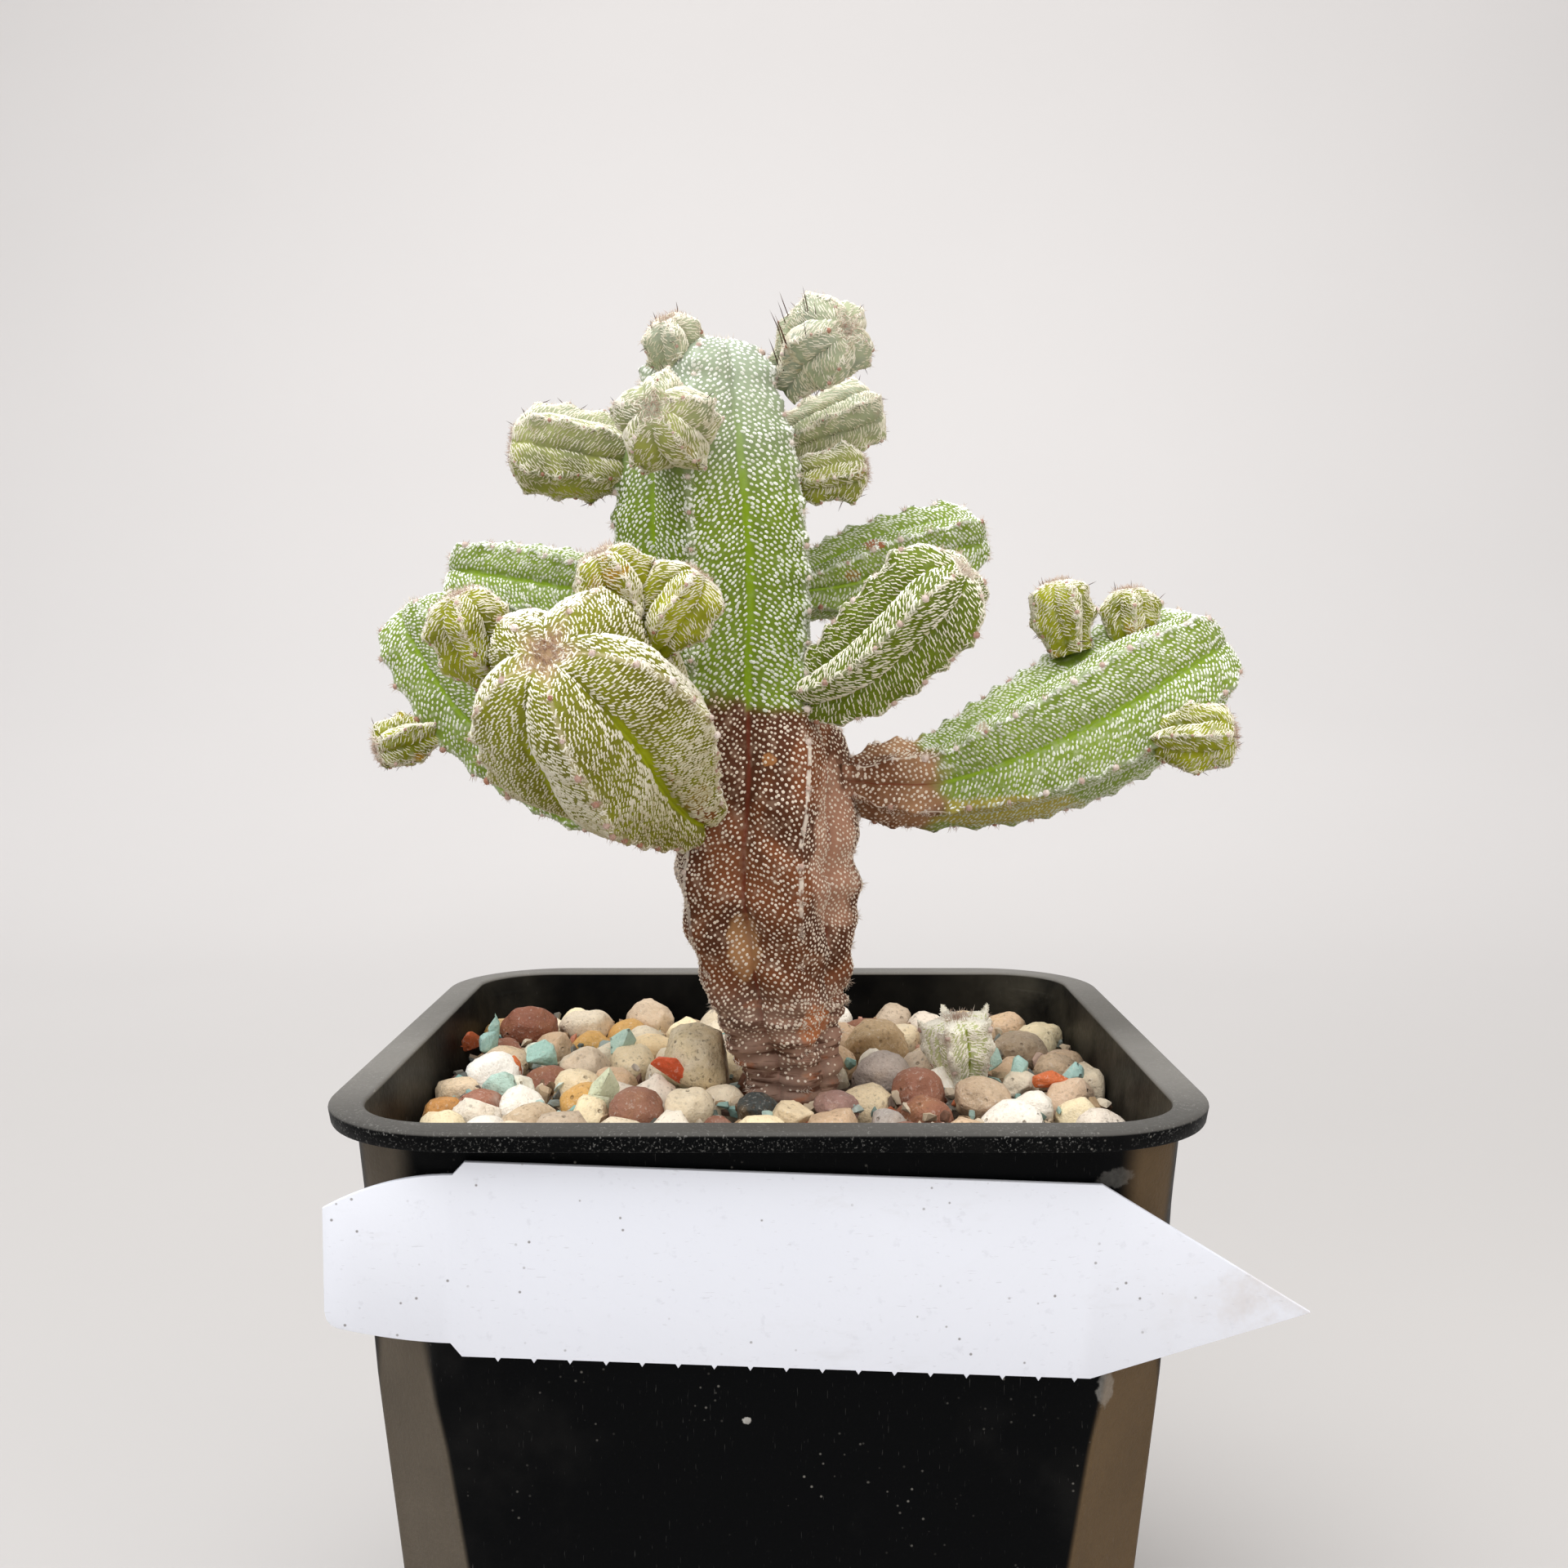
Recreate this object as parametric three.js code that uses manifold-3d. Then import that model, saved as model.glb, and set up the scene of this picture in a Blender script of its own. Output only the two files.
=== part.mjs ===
// A potted monstrose bishop's cap cactus in a square nursery pot, in millimetres, +Z up.
// The origin is the centre of the pot's underside. -Y is the front, which carries the bare label.
import * as THREE from "three";
import { mergeVertices } from "three/addons/utils/BufferGeometryUtils.js";
import Module from "manifold-3d";

const wasm = await Module();
wasm.setup();

// Driving dimensions of the pot
const potHeight = 92;
const rimHalf = 47.5;
const rimTopWidth = 4.2;
const rimSkirt = 2.15;
const rimCorner = 16;
const rimInnerCorner = 10;
const baseHalf = 37.8;
const wallSlope = 0.0752;
const chamferAtBase = 12.3;
const chamferSlope = 0.063;
const wall = 1.3;
const floorThickness = 1.6;
const drainRadius = 3.5;
const drainOffset = 22;

// Driving dimensions of the filling
const clearance = 0.35;
const mixTop = 78.5;
const bedTop = 84.2;
const stoneCount = 132;
const stoneSeed = 4711;
const largeStoneTries = 3000;
const stoneTries = 20000;

// Driving dimensions of the stems
const ribs = 5;
const areolePitch = 4.4;
const toothHeight = 0.22;
const stemAxis = [2.2, -3];
const rootDepth = 66;

// Driving dimensions of the label
const labelThickness = 0.6;
const labelHalfHeight = 10.4;
const labelTilt = -2.15;
const labelCentre = [1, 76.9];
const nubPitch = 3.7;
const nubSize = 0.45;

// Colours, roughness and metalness
const looks = {
  blackPlastic: [0x1d2022, 0.5],
  soil: [0x3b2c22, 0.95],
  stones: [0xc2b29c, 0.8],
  green: [0x7f9a68, 0.7],
  oliveGreen: [0x9aa863, 0.75],
  whitePlastic: [0xe6e8f2, 0.4],
};

function material(look) {
  const [color, roughness] = looks[look];
  return new THREE.MeshStandardMaterial({ color, roughness, metalness: 0 });
}

function seededRandom(seed) {
  let state = seed;
  return () => {
    state = (state * 16807) % 2147483647;
    return state / 2147483647;
  };
}

// Solids and booleans

function toSolid(geometry) {
  const bare = geometry.clone();
  bare.deleteAttribute("normal");
  bare.deleteAttribute("uv");
  const welded = mergeVertices(bare, 1e-4);
  return new wasm.Manifold(
    new wasm.Mesh({
      numProp: 3,
      vertProperties: new Float32Array(welded.attributes.position.array),
      triVerts: new Uint32Array(welded.index.array),
    }),
  );
}

function toMesh(name, solid, look) {
  const source = solid.getMesh();
  const geometry = new THREE.BufferGeometry();
  geometry.setAttribute("position", new THREE.BufferAttribute(source.vertProperties, source.numProp));
  geometry.setIndex(new THREE.BufferAttribute(source.triVerts, 1));
  geometry.computeVertexNormals();
  const mesh = new THREE.Mesh(geometry, material(look));
  mesh.name = name;
  return mesh;
}

// Stacks rings of equal point count into one closed body, with a centre point at each end.
function skinRings(rings, startCentre, endCentre) {
  const count = rings[0].length;
  const points = [...rings.flat(), startCentre, endCentre];
  const start = points.length - 2;
  const end = points.length - 1;
  const faces = [];
  for (let row = 0; row < rings.length - 1; row += 1) {
    for (let i = 0; i < count; i += 1) {
      const next = (i + 1) % count;
      const a = row * count + i;
      const b = row * count + next;
      const c = a + count;
      const d = b + count;
      faces.push(a, b, d, a, d, c);
    }
  }
  const last = (rings.length - 1) * count;
  for (let i = 0; i < count; i += 1) {
    const next = (i + 1) % count;
    faces.push(start, next, i);
    faces.push(end, last + i, last + next);
  }
  const geometry = new THREE.BufferGeometry();
  const position = new Float32Array(points.flatMap((point) => [point.x, point.y, point.z]));
  geometry.setAttribute("position", new THREE.BufferAttribute(position, 3));
  geometry.setIndex(faces);
  return geometry;
}

// Pot

// One level of the pot: a square of half width `half` whose corners go from a flat chamfer
// (round = 0) to a quarter circle (round = 1), both with the given leg.
function squareRing(half, leg, round, z) {
  const cornerSteps = 5;
  const ring = [];
  for (let corner = 0; corner < 4; corner += 1) {
    const turn = (corner * Math.PI) / 2;
    for (let step = 0; step <= cornerSteps; step += 1) {
      const share = step / cornerSteps;
      const angle = (share * Math.PI) / 2;
      const arcX = half - leg + leg * Math.cos(angle);
      const arcY = half - leg + leg * Math.sin(angle);
      const flatX = half - leg * share;
      const flatY = half - leg * (1 - share);
      const x = flatX + (arcX - flatX) * round;
      const y = flatY + (arcY - flatY) * round;
      const turnedX = x * Math.cos(turn) - y * Math.sin(turn);
      const turnedY = x * Math.sin(turn) + y * Math.cos(turn);
      ring.push(new THREE.Vector3(turnedX, turnedY, z));
    }
  }
  return ring;
}

// Half width, chamfer leg and roundness of the pot's outer wall at height z.
function outerWall(z) {
  const half = baseHalf + wallSlope * z;
  const nearRim = THREE.MathUtils.smoothstep(z, potHeight - 32, potHeight - 4);
  const leg = THREE.MathUtils.lerp(chamferAtBase - chamferSlope * z, rimCorner - 3, nearRim);
  const round = THREE.MathUtils.lerp(0.08, 1, nearRim);
  return { half, leg, round };
}

function innerRing(z, inset) {
  const { half, leg, round } = outerWall(z);
  return squareRing(half - wall - inset, leg - wall * 0.6, round, z);
}

function wallRing(z) {
  const { half, leg, round } = outerWall(z);
  return squareRing(half, leg, round, z);
}

function makePot() {
  const skirtBottom = potHeight - rimSkirt;
  const openingHalf = rimHalf - rimTopWidth;
  const rings = [
    squareRing(baseHalf - 0.8, chamferAtBase - 0.4, 0.08, 0),
    ...[0.8, 60, 72, 82, skirtBottom].map(wallRing),
    squareRing(rimHalf - 0.25, rimCorner, 1, skirtBottom),
    squareRing(rimHalf, rimCorner, 1, potHeight - 0.4),
    squareRing(rimHalf - 0.4, rimCorner, 1, potHeight),
    squareRing(openingHalf + 0.3, rimInnerCorner, 1, potHeight),
    squareRing(openingHalf, rimInnerCorner, 1, potHeight - 0.3),
    ...[82, 72, 60, floorThickness].map((z) => innerRing(z, 0)),
  ];
  const underside = new THREE.Vector3(0, 0, 0);
  const innerFloor = new THREE.Vector3(0, 0, floorThickness);
  let pot = toSolid(skinRings(rings, underside, innerFloor));
  for (let i = 0; i < 4; i += 1) {
    const angle = Math.PI / 4 + (i * Math.PI) / 2;
    const drain = new THREE.CylinderGeometry(drainRadius, drainRadius, 8, 16);
    drain.rotateX(Math.PI / 2);
    drain.translate(drainOffset * Math.cos(angle), drainOffset * Math.sin(angle), floorThickness / 2);
    pot = pot.subtract(toSolid(drain));
  }
  return pot;
}

// A block that fills the pot between two heights, clear of its walls.
function fillBlock(bottom, top) {
  const levels = [bottom, 60, 72, 82, top].filter((z) => z >= bottom && z <= top);
  const rings = levels.map((z) => innerRing(z, clearance));
  const low = new THREE.Vector3(0, 0, bottom);
  const high = new THREE.Vector3(0, 0, top);
  return toSolid(skinRings(rings, low, high));
}

// The potting mix has a plain tapered hole for the root.
function makeMix() {
  const depth = mixTop - rootDepth + 1;
  const hole = new THREE.CylinderGeometry(6, 3.4, depth, 14);
  hole.rotateX(Math.PI / 2);
  hole.translate(stemAxis[0], stemAxis[1], rootDepth - 0.5 + depth / 2);
  return fillBlock(floorThickness + clearance, mixTop).subtract(toSolid(hole));
}

// Stems

// Catmull-Rom value between rows of numbers, at `share` of the way past row `index`.
function splineRow(rows, index, share) {
  const pick = (k) => rows[Math.min(Math.max(k, 0), rows.length - 1)];
  const [a, b, c, d] = [pick(index - 1), pick(index), pick(index + 1), pick(index + 2)];
  return b.map((value, k) => {
    const slope = c[k] - a[k];
    const bend = 2 * a[k] - 5 * value + 4 * c[k] - d[k];
    const twist = 3 * value - a[k] - 3 * c[k] + d[k];
    return 0.5 * (2 * value + share * (slope + share * (bend + share * twist)));
  });
}

// Evenly spaced rings along a stem's stations: centre, radius and direction of each.
function stemRings(stations, step) {
  const finePerSpan = 24;
  const fine = [];
  for (let i = 0; i < stations.length - 1; i += 1) {
    for (let k = i === 0 ? 0 : 1; k <= finePerSpan; k += 1) {
      const row = splineRow(stations, i, k / finePerSpan);
      const centre = new THREE.Vector3(row[0], row[1], row[2]);
      const travel = fine.length ? fine.at(-1).travel + centre.distanceTo(fine.at(-1).centre) : 0;
      fine.push({ centre, radius: row[3], travel });
    }
  }
  const length = fine.at(-1).travel;
  const spans = Math.max(2, Math.round(length / step));
  const rings = [];
  for (let n = 0; n <= spans; n += 1) {
    const wanted = (n / spans) * length;
    const found = fine.findIndex((row) => row.travel >= wanted - 1e-9);
    const high = Math.max(1, found);
    const low = high - 1;
    const share = (wanted - fine[low].travel) / (fine[high].travel - fine[low].travel);
    rings.push({
      centre: fine[low].centre.clone().lerp(fine[high].centre, share),
      radius: THREE.MathUtils.lerp(fine[low].radius, fine[high].radius, share),
      along: fine[high].centre.clone().sub(fine[low].centre).normalize(),
    });
  }
  return rings;
}

// Share of the full radius at an angle: 1 on a ridge, less in a furrow.
function ribShape(angle, depth) {
  const sector = (2 * Math.PI) / ribs;
  const turn = ((angle % sector) + sector) % sector;
  const toRidge = Math.min(turn, sector - turn) / (sector / 2);
  return { share: 1 - depth * toRidge ** 1.35, ridge: 1 - toRidge };
}

// One ribbed stem, with its furrows, its toothed ridges and a dimpled crown at the tip.
function ribbedStem(spec, grow = 0) {
  const { stations, facing, phase, depth, crown, step = areolePitch / 2, flank = 2, corky, twist } = spec;
  const perRib = flank * 2;
  const toward = new THREE.Vector3(...facing);
  const rings = stemRings(stations, step);
  const tip = rings.at(-1);
  const crownSteps = 4;
  for (let k = 1; k < crownSteps; k += 1) {
    const angle = (k / crownSteps) * (Math.PI / 2) * 0.97;
    rings.push({
      centre: tip.centre.clone().addScaledVector(tip.along, crown * Math.sin(angle)),
      radius: tip.radius * Math.cos(angle),
      along: tip.along,
      nearTip: k / crownSteps,
    });
  }
  const skin = rings.map((ring, index) => {
    const up = toward.clone().addScaledVector(ring.along, -toward.dot(ring.along)).normalize();
    const side = new THREE.Vector3().crossVectors(ring.along, up);
    const points = [];
    const turned = twist ? twist(ring.centre.z) : 0;
    for (let i = 0; i < ribs * perRib; i += 1) {
      const local = (i / perRib) * ((2 * Math.PI) / ribs);
      const angle = local + THREE.MathUtils.degToRad(phase + turned);
      const rib = ribShape(local, depth * (1 + 0.4 * (ring.nearTip ?? 0)));
      const tooth = toothHeight * rib.ridge ** 4 * (index % 2 ? -1 : 1);
      const lump = corky ? corky(angle, ring.centre.z) : 0;
      const radius = ring.radius * rib.share + tooth + lump + grow;
      points.push(
        ring.centre
          .clone()
          .addScaledVector(up, radius * Math.cos(angle))
          .addScaledVector(side, radius * Math.sin(angle)),
      );
    }
    return points;
  });
  const start = rings[0].centre.clone().addScaledVector(rings[0].along, -grow);
  const end = tip.centre.clone().addScaledVector(tip.along, crown * 0.86 + grow);
  return toSolid(skinRings(skin, start, end));
}

function fuse(solids) {
  return solids.reduce((body, solid) => body.add(solid));
}

// The old corky foot of the main stem swells and pinches unevenly.
function corkyFoot(angle, z) {
  const old = 1 - THREE.MathUtils.smoothstep(z, 122, 134);
  const above = THREE.MathUtils.smoothstep(z, 84, 90);
  const swell = Math.sin(z * 0.62 + 2.1 * Math.sin(angle * 2)) * Math.sin(angle * 3 + z * 0.21 + 1.2);
  return 0.75 * old * above * swell;
}

// Below the green part the ribs wind a little round the stem.
function footTwist(z) {
  return -38 * (1 - THREE.MathUtils.smoothstep(z, 110, 152));
}

const front = [0, -1, 0];
const upward = [0, 0, 1];

const mainStem = {
  stations: [
    [stemAxis[0], stemAxis[1], rootDepth, 2.6],
    [stemAxis[0], stemAxis[1], 78, 5],
    [2.2, -3, 86, 6.3],
    [2, -3, 90, 6.8],
    [0.8, -3, 95, 8.6],
    [0.2, -3, 100, 10.2],
    [-0.6, -3, 107, 11.3],
    [-1.1, -3, 114, 12.2],
    [-1.9, -3, 124, 12.3],
    [-3.6, -3, 132, 11.6],
    [-5.2, -3, 140, 11.9],
    [-6.4, -3, 150, 12.4],
    [-6.9, -3, 158, 12.2],
    [-7.4, -3, 167, 11],
    [-7.2, -3, 173, 8.8],
  ],
  facing: front,
  phase: -12,
  depth: 0.22,
  crown: 6,
  corky: corkyFoot,
  twist: footTwist,
};

const mainStemPups = [
  // Double pup at the top right
  { stations: [[-0.4, -4.6, 171.6, 2.6], [4.6, -7, 175.6, 4.6], [6.6, -8, 178.8, 4.5]], crown: 3.6, phase: 20 },
  { stations: [[3, -8, 174.4, 2.4], [7.3, -9.5, 174.6, 4.4], [9.4, -10, 175.1, 4.5]], crown: 2.8, phase: 50 },
  // Behind it, and below it
  { stations: [[-1, 0.5, 165.6, 2.4], [6.4, 5.4, 169, 4.4], [11, 8, 171.2, 4.9]], crown: 3.4, phase: 0 },
  { stations: [[0.4, -4, 160.8, 1.8], [6, -4, 162, 3.2], [9.4, -4, 162.6, 3.5]], crown: 2.6, phase: 30 },
  // Top left
  { stations: [[-10.2, -6, 172.5, 1.8], [-11, -6, 176, 3.6], [-11.7, -7, 178, 4]], crown: 2.9, phase: 0 },
  // Star that faces the front
  { stations: [[-9.8, -11, 164.6, 2.8], [-10.8, -14.5, 165.6, 5.4], [-12, -19, 166.5, 6]], crown: 4.2, phase: -18, flank: 2 },
  // Barrel that points left
  { stations: [[-17.2, -2, 163.2, 3], [-20.5, -3, 164.2, 5.2], [-27.8, -4, 165.2, 5.8]], crown: 4.4, phase: 16 },
];

function pup(spec) {
  const { stations } = spec;
  const along = new THREE.Vector3(...stations.at(-1)).sub(new THREE.Vector3(...stations[0])).normalize();
  const facing = Math.abs(along.z) > 0.7 ? front : upward;
  return { facing, depth: 0.24, flank: 1, ...spec };
}

const branches = {
  stem_front_left: {
    facing: upward,
    phase: -18,
    depth: 0.34,
    crown: 8.4,
    stations: [
      [-7.5, -8, 119.8, 3.6],
      [-13.2, -15.5, 124.8, 8.6],
      [-18.2, -25, 131.4, 13.2],
      [-20.8, -33, 136, 11.8],
    ],
    pups: [
      { stations: [[-29.2, -27, 136.6, 2], [-31.2, -28, 140, 4.3], [-32.6, -29, 143.6, 4.8]], crown: 3.2, phase: 0 },
      { stations: [[-14.4, -27, 141, 2], [-15.8, -28, 145.2, 4.1], [-17, -29, 148, 4.5]], crown: 3.4, phase: 20 },
      { stations: [[-13, -27, 140.4, 2], [-11.2, -28, 143.4, 4.4], [-9.4, -28, 146, 5]], crown: 3.4, phase: 0 },
    ],
  },
  stem_left_upper: {
    facing: front,
    phase: 44,
    depth: 0.26,
    crown: 4,
    stations: [[-15.4, 3.6, 147.8, 2.6], [-24.6, 10.5, 148.2, 5.8], [-32.5, 15, 149.4, 6.4], [-40.2, 18, 150.8, 5.8]],
    pups: [],
  },
  stem_left_outer: {
    facing: front,
    phase: 20,
    depth: 0.26,
    crown: 5,
    stations: [
      [-11, 3, 122.6, 3.4],
      [-21, 6, 121.8, 5.8],
      [-31, 8, 126.8, 7],
      [-39.5, 9, 134.6, 7.8],
      [-45.2, 10, 142.8, 7.2],
    ],
    pups: [
      { stations: [[-43, 6, 130.6, 2], [-46.6, 4, 129.2, 3.3], [-48.6, 3, 128.6, 3.5]], crown: 2.5, phase: 10 },
    ],
  },
  stem_right_mid: {
    facing: front,
    phase: -8,
    depth: 0.28,
    crown: 5,
    stations: [[3.4, -8.6, 135.2, 3], [6.6, -10, 136, 4.5], [11.8, -13, 139.2, 6.2], [19.4, -18, 146.6, 6.9]],
    pups: [],
  },
  stem_right_back: {
    facing: front,
    phase: -20,
    depth: 0.26,
    crown: 4.5,
    stations: [[2.6, 2, 148.4, 3], [9.1, 8, 150, 5.4], [15.8, 12, 152.6, 5.9], [24.6, 15, 155.4, 5.4]],
    pups: [],
  },
  stem_right_long: {
    facing: front,
    phase: -38,
    depth: 0.26,
    crown: 6,
    stations: [
      [8, -2, 124.6, 4],
      [14.6, 0, 123.9, 5.5],
      [21.5, 2, 124, 6.4],
      [30.1, 4, 126.5, 8.6],
      [40, 6, 130.8, 10.2],
      [48.8, 8, 135.6, 10.3],
      [54.6, 9, 139, 8.6],
    ],
    pups: [
      { stations: [[39, 6, 140.4, 2.4], [38, 6, 144.2, 4.1], [37.4, 6, 147, 4.4]], crown: 3, phase: 15 },
      { stations: [[47.6, 7, 141.4, 2.1], [46.8, 7, 144, 3.6], [46.5, 7, 146.4, 3.8]], crown: 2.6, phase: 0 },
      { stations: [[49, 0, 129.4, 2.2], [52.2, -2, 129.6, 4], [55.4, -3, 130, 4.2]], crown: 2.8, phase: 15 },
    ],
  },
};

const fallenPup = {
  stations: [[24.8, 4, 89, 3.2], [24.4, 1.6, 89.6, 4.8], [24, -1.4, 90.4, 5.2]],
  facing: upward,
  phase: 24,
  depth: 0.32,
  crown: 2.2,
};

function stemWithPups(spec, grow = 0) {
  return fuse([ribbedStem(spec, grow), ...spec.pups.map((one) => ribbedStem(pup(one), grow))]);
}

// Gravel

// The stones that show best: x, y, half size and extra lift. The rest are scattered by rule.
const namedStones = [
  [-9.6, 0.4, 5.2, 1],
  [-35, 27.5, 4.3, 0.4],
  [18.3, -6.5, 3.6, 0.4],
  [-16, -15, 3.4, 0.2],
  [-36, 3, 3.8, 0],
  [-25, 9, 3.5, 0],
  [-27.5, 32, 4.1, 0],
  [-18.5, 37, 4.2, 0],
  [14.6, 19.5, 5, 0],
  [26, -9, 3.6, 0],
  [34.5, 17, 3.8, 0],
  [37.5, 7, 3, 0],
  [14.4, 2.4, 4, 0],
  [-16.8, 19, 3.2, 0],
  [-35, -15.5, 3, 0],
  [2.4, -17, 3, 0],
  [8, -12.6, 3, 0],
  [-1.6, -12.6, 2.8, 0],
  [-10, -13, 3.4, 0],
  [-32, 15.6, 2.6, 0],
  [-32, -5, 2.8, 0],
  [32, -12, 2.8, 0],
  [31.8, -1, 2.8, 0],
];

function stonePlaces() {
  const random = seededRandom(stoneSeed);
  const reach = baseHalf + wallSlope * bedTop - wall - 2.6;
  const stones = namedStones.map(([x, y, size, lift]) => ({ x, y, size, lift, named: true }));
  for (let tries = 0; tries < stoneTries && stones.length < stoneCount; tries += 1) {
    const size = tries < largeStoneTries ? 2.8 + 1.3 * random() : 2.3 + 0.6 * random();
    const x = (2 * random() - 1) * reach;
    const y = (2 * random() - 1) * reach;
    const lift = 0.6 * random() - 0.3;
    const inCorner = Math.abs(x) + Math.abs(y) > 2 * reach - 7;
    const onStem = Math.hypot(x - stemAxis[0], y - stemAxis[1]) < 5 + size;
    const free = stones.every((other) => Math.hypot(x - other.x, y - other.y) > 0.82 * (size + other.size));
    if (free && !onStem && !inCorner) stones.push({ x, y, size, lift, named: false });
  }
  return stones;
}

// A named stone stands free of the bed; a scattered one shows only its rounded top.
function makeStone({ x, y, size, lift, named }, random) {
  const width = size * (0.8 + 0.2 * random());
  const height = size * (0.66 + 0.2 * random());
  const geometry = named ? new THREE.DodecahedronGeometry(1.05, 0) : new THREE.SphereGeometry(1.08, 6, 4);
  if (!named) geometry.rotateX(Math.PI / 2);
  geometry.rotateZ(2 * Math.PI * random());
  geometry.scale(size, width, named ? height : height * 1.3);
  geometry.rotateX(0.4 * (random() - 0.5));
  geometry.rotateY(0.4 * (random() - 0.5));
  geometry.rotateZ(2 * Math.PI * random());
  geometry.translate(x, y, bedTop + (named ? 0.34 * size : -0.3) + lift);
  return toSolid(geometry);
}

function makeGravel() {
  const random = seededRandom(stoneSeed + 1);
  const bed = fillBlock(mixTop + clearance, bedTop);
  const stones = fuse(stonePlaces().map((stone) => makeStone(stone, random)));
  return bed.add(stones.intersect(fillBlock(bedTop - 2, potHeight + 2)));
}

// Label

// A plain plant label: a rounded head with shoulders at the left and a point at the right.
function makeLabel() {
  const h = labelHalfHeight;
  const outline = new THREE.Shape();
  const shoulder = -31;
  const point = 32.5;
  outline.moveTo(shoulder, h);
  outline.lineTo(shoulder - 1.2, h - 1.4);
  outline.quadraticCurveTo(-40, h - 1.6, -45.8, h - 4.7);
  outline.lineTo(-45.8, -h + 3);
  outline.quadraticCurveTo(-39, -h + 1.4, shoulder - 1.2, -h + 1.4);
  outline.lineTo(shoulder, -h);
  for (let x = shoulder + nubPitch; x < point - 1; x += nubPitch) {
    outline.lineTo(x - 0.3, -h);
    outline.lineTo(x, -h - nubSize);
    outline.lineTo(x + 0.3, -h);
  }
  outline.lineTo(point, -h);
  outline.lineTo(54.6, -2.4);
  outline.lineTo(point, h);
  outline.closePath();
  const geometry = new THREE.ExtrudeGeometry(outline, {
    depth: labelThickness,
    bevelEnabled: false,
    curveSegments: 5,
  });
  geometry.rotateZ(THREE.MathUtils.degToRad(labelTilt));
  const wallAngle = Math.atan(wallSlope);
  geometry.rotateX(Math.PI / 2 + wallAngle);
  const wallHalf = baseHalf + wallSlope * labelCentre[1];
  geometry.translate(labelCentre[0], -wallHalf - clearance, labelCentre[1]);
  return toSolid(geometry);
}

// The object

const stemSolid = fuse([ribbedStem(mainStem), ...mainStemPups.map((one) => ribbedStem(pup(one)))]);
const stemRoom = ribbedStem(mainStem, clearance);
const pupRoom = ribbedStem(fallenPup, clearance);

const plant = new THREE.Group();
plant.add(toMesh("pot", makePot(), "blackPlastic"));
plant.add(toMesh("potting_mix", makeMix(), "soil"));
plant.add(toMesh("gravel", makeGravel().subtract(stemRoom).subtract(pupRoom), "stones"));
plant.add(toMesh("main_stem", stemSolid, "green"));
for (const [name, spec] of Object.entries(branches)) {
  plant.add(toMesh(name, stemWithPups(spec).subtract(stemRoom), "green"));
}
plant.add(toMesh("fallen_pup", ribbedStem(fallenPup), "oliveGreen"));
plant.add(toMesh("plant_label", makeLabel(), "whitePlastic"));

export default plant;
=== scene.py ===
"""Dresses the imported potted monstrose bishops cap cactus: stems, gravel, pot, label and stage."""

import math

import bmesh
import bpy
import numpy as np
from mathutils import Matrix, Vector, kdtree


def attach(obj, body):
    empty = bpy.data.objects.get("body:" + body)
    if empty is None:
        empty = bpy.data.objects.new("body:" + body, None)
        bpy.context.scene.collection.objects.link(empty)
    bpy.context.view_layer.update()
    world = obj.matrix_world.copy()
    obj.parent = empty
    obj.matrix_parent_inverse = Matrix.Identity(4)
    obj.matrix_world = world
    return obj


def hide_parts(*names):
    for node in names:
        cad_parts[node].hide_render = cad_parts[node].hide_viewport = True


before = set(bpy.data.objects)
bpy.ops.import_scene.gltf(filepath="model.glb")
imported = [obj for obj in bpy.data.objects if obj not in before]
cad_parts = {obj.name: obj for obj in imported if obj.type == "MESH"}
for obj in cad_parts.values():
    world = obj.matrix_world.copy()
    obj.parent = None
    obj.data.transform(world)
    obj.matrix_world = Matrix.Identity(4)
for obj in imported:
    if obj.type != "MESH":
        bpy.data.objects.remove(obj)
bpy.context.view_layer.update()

bl_info = {
    "name": "Potted monstrose bishops cap cactus",
    "version": (1, 0, 0),
    "blender": (4, 5, 0),
    "location": "3D View > Sidebar > Cactus",
    "description": "Fine stems, gravel, pot and bare label around the packed frame of a potted cactus",
    "category": "Object",
}

MM = 0.001
BODY = "root"


# Colours


def colour(code):
    """Linear colour of a web colour code."""
    parts = [int(code[i : i + 2], 16) / 255 for i in (1, 3, 5)]
    return tuple(c / 12.92 if c <= 0.04045 else ((c + 0.055) / 1.055) ** 2.4 for c in parts)


def colour_prop(name, description, code):
    return bpy.props.FloatVectorProperty(
        name=name, description=description, default=colour(code), subtype="COLOR", size=3, min=0, max=1
    )


def length_prop(name, description, millimetres):
    return bpy.props.FloatProperty(
        name=name,
        description=description,
        default=millimetres * MM,
        unit="LENGTH",
        subtype="DISTANCE",
        min=0,
        precision=5,
    )


def power_prop(name, description, watts):
    return bpy.props.FloatProperty(name=name, description=description, default=watts, unit="POWER")


# Settings that a user would change


class PotSettings(bpy.types.PropertyGroup):
    """Size of the pot's fine edges and the colours of its plastic."""

    edge: length_prop("Edge radius", "Rounding of the moulded edges of the rim", 0.45)
    plastic: colour_prop("Plastic", "Colour of the clean plastic", "#020304")
    # This worn corner colour is the left-hand one; the right-hand corners are painted warmer, a painted warm
    # light from the right
    worn_and_side_light: colour_prop("Worn corner", "Colour of the scuffed, dusty corners", "#655C50")
    dust: colour_prop("Dust", "Colour of the fine dust on the walls", "#9A968F")


class GravelSettings(bpy.types.PropertyGroup):
    """Shape and colours of the top dressing."""

    roughness: length_prop("Unevenness", "How far a stone departs from a smooth pebble", 0.32)
    seed: bpy.props.IntProperty(name="Seed", description="Seed of the small grit", default=12, min=0)
    grit: bpy.props.IntProperty(
        name="Grit", description="Number of small grains between the stones", default=1100
    )


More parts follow.
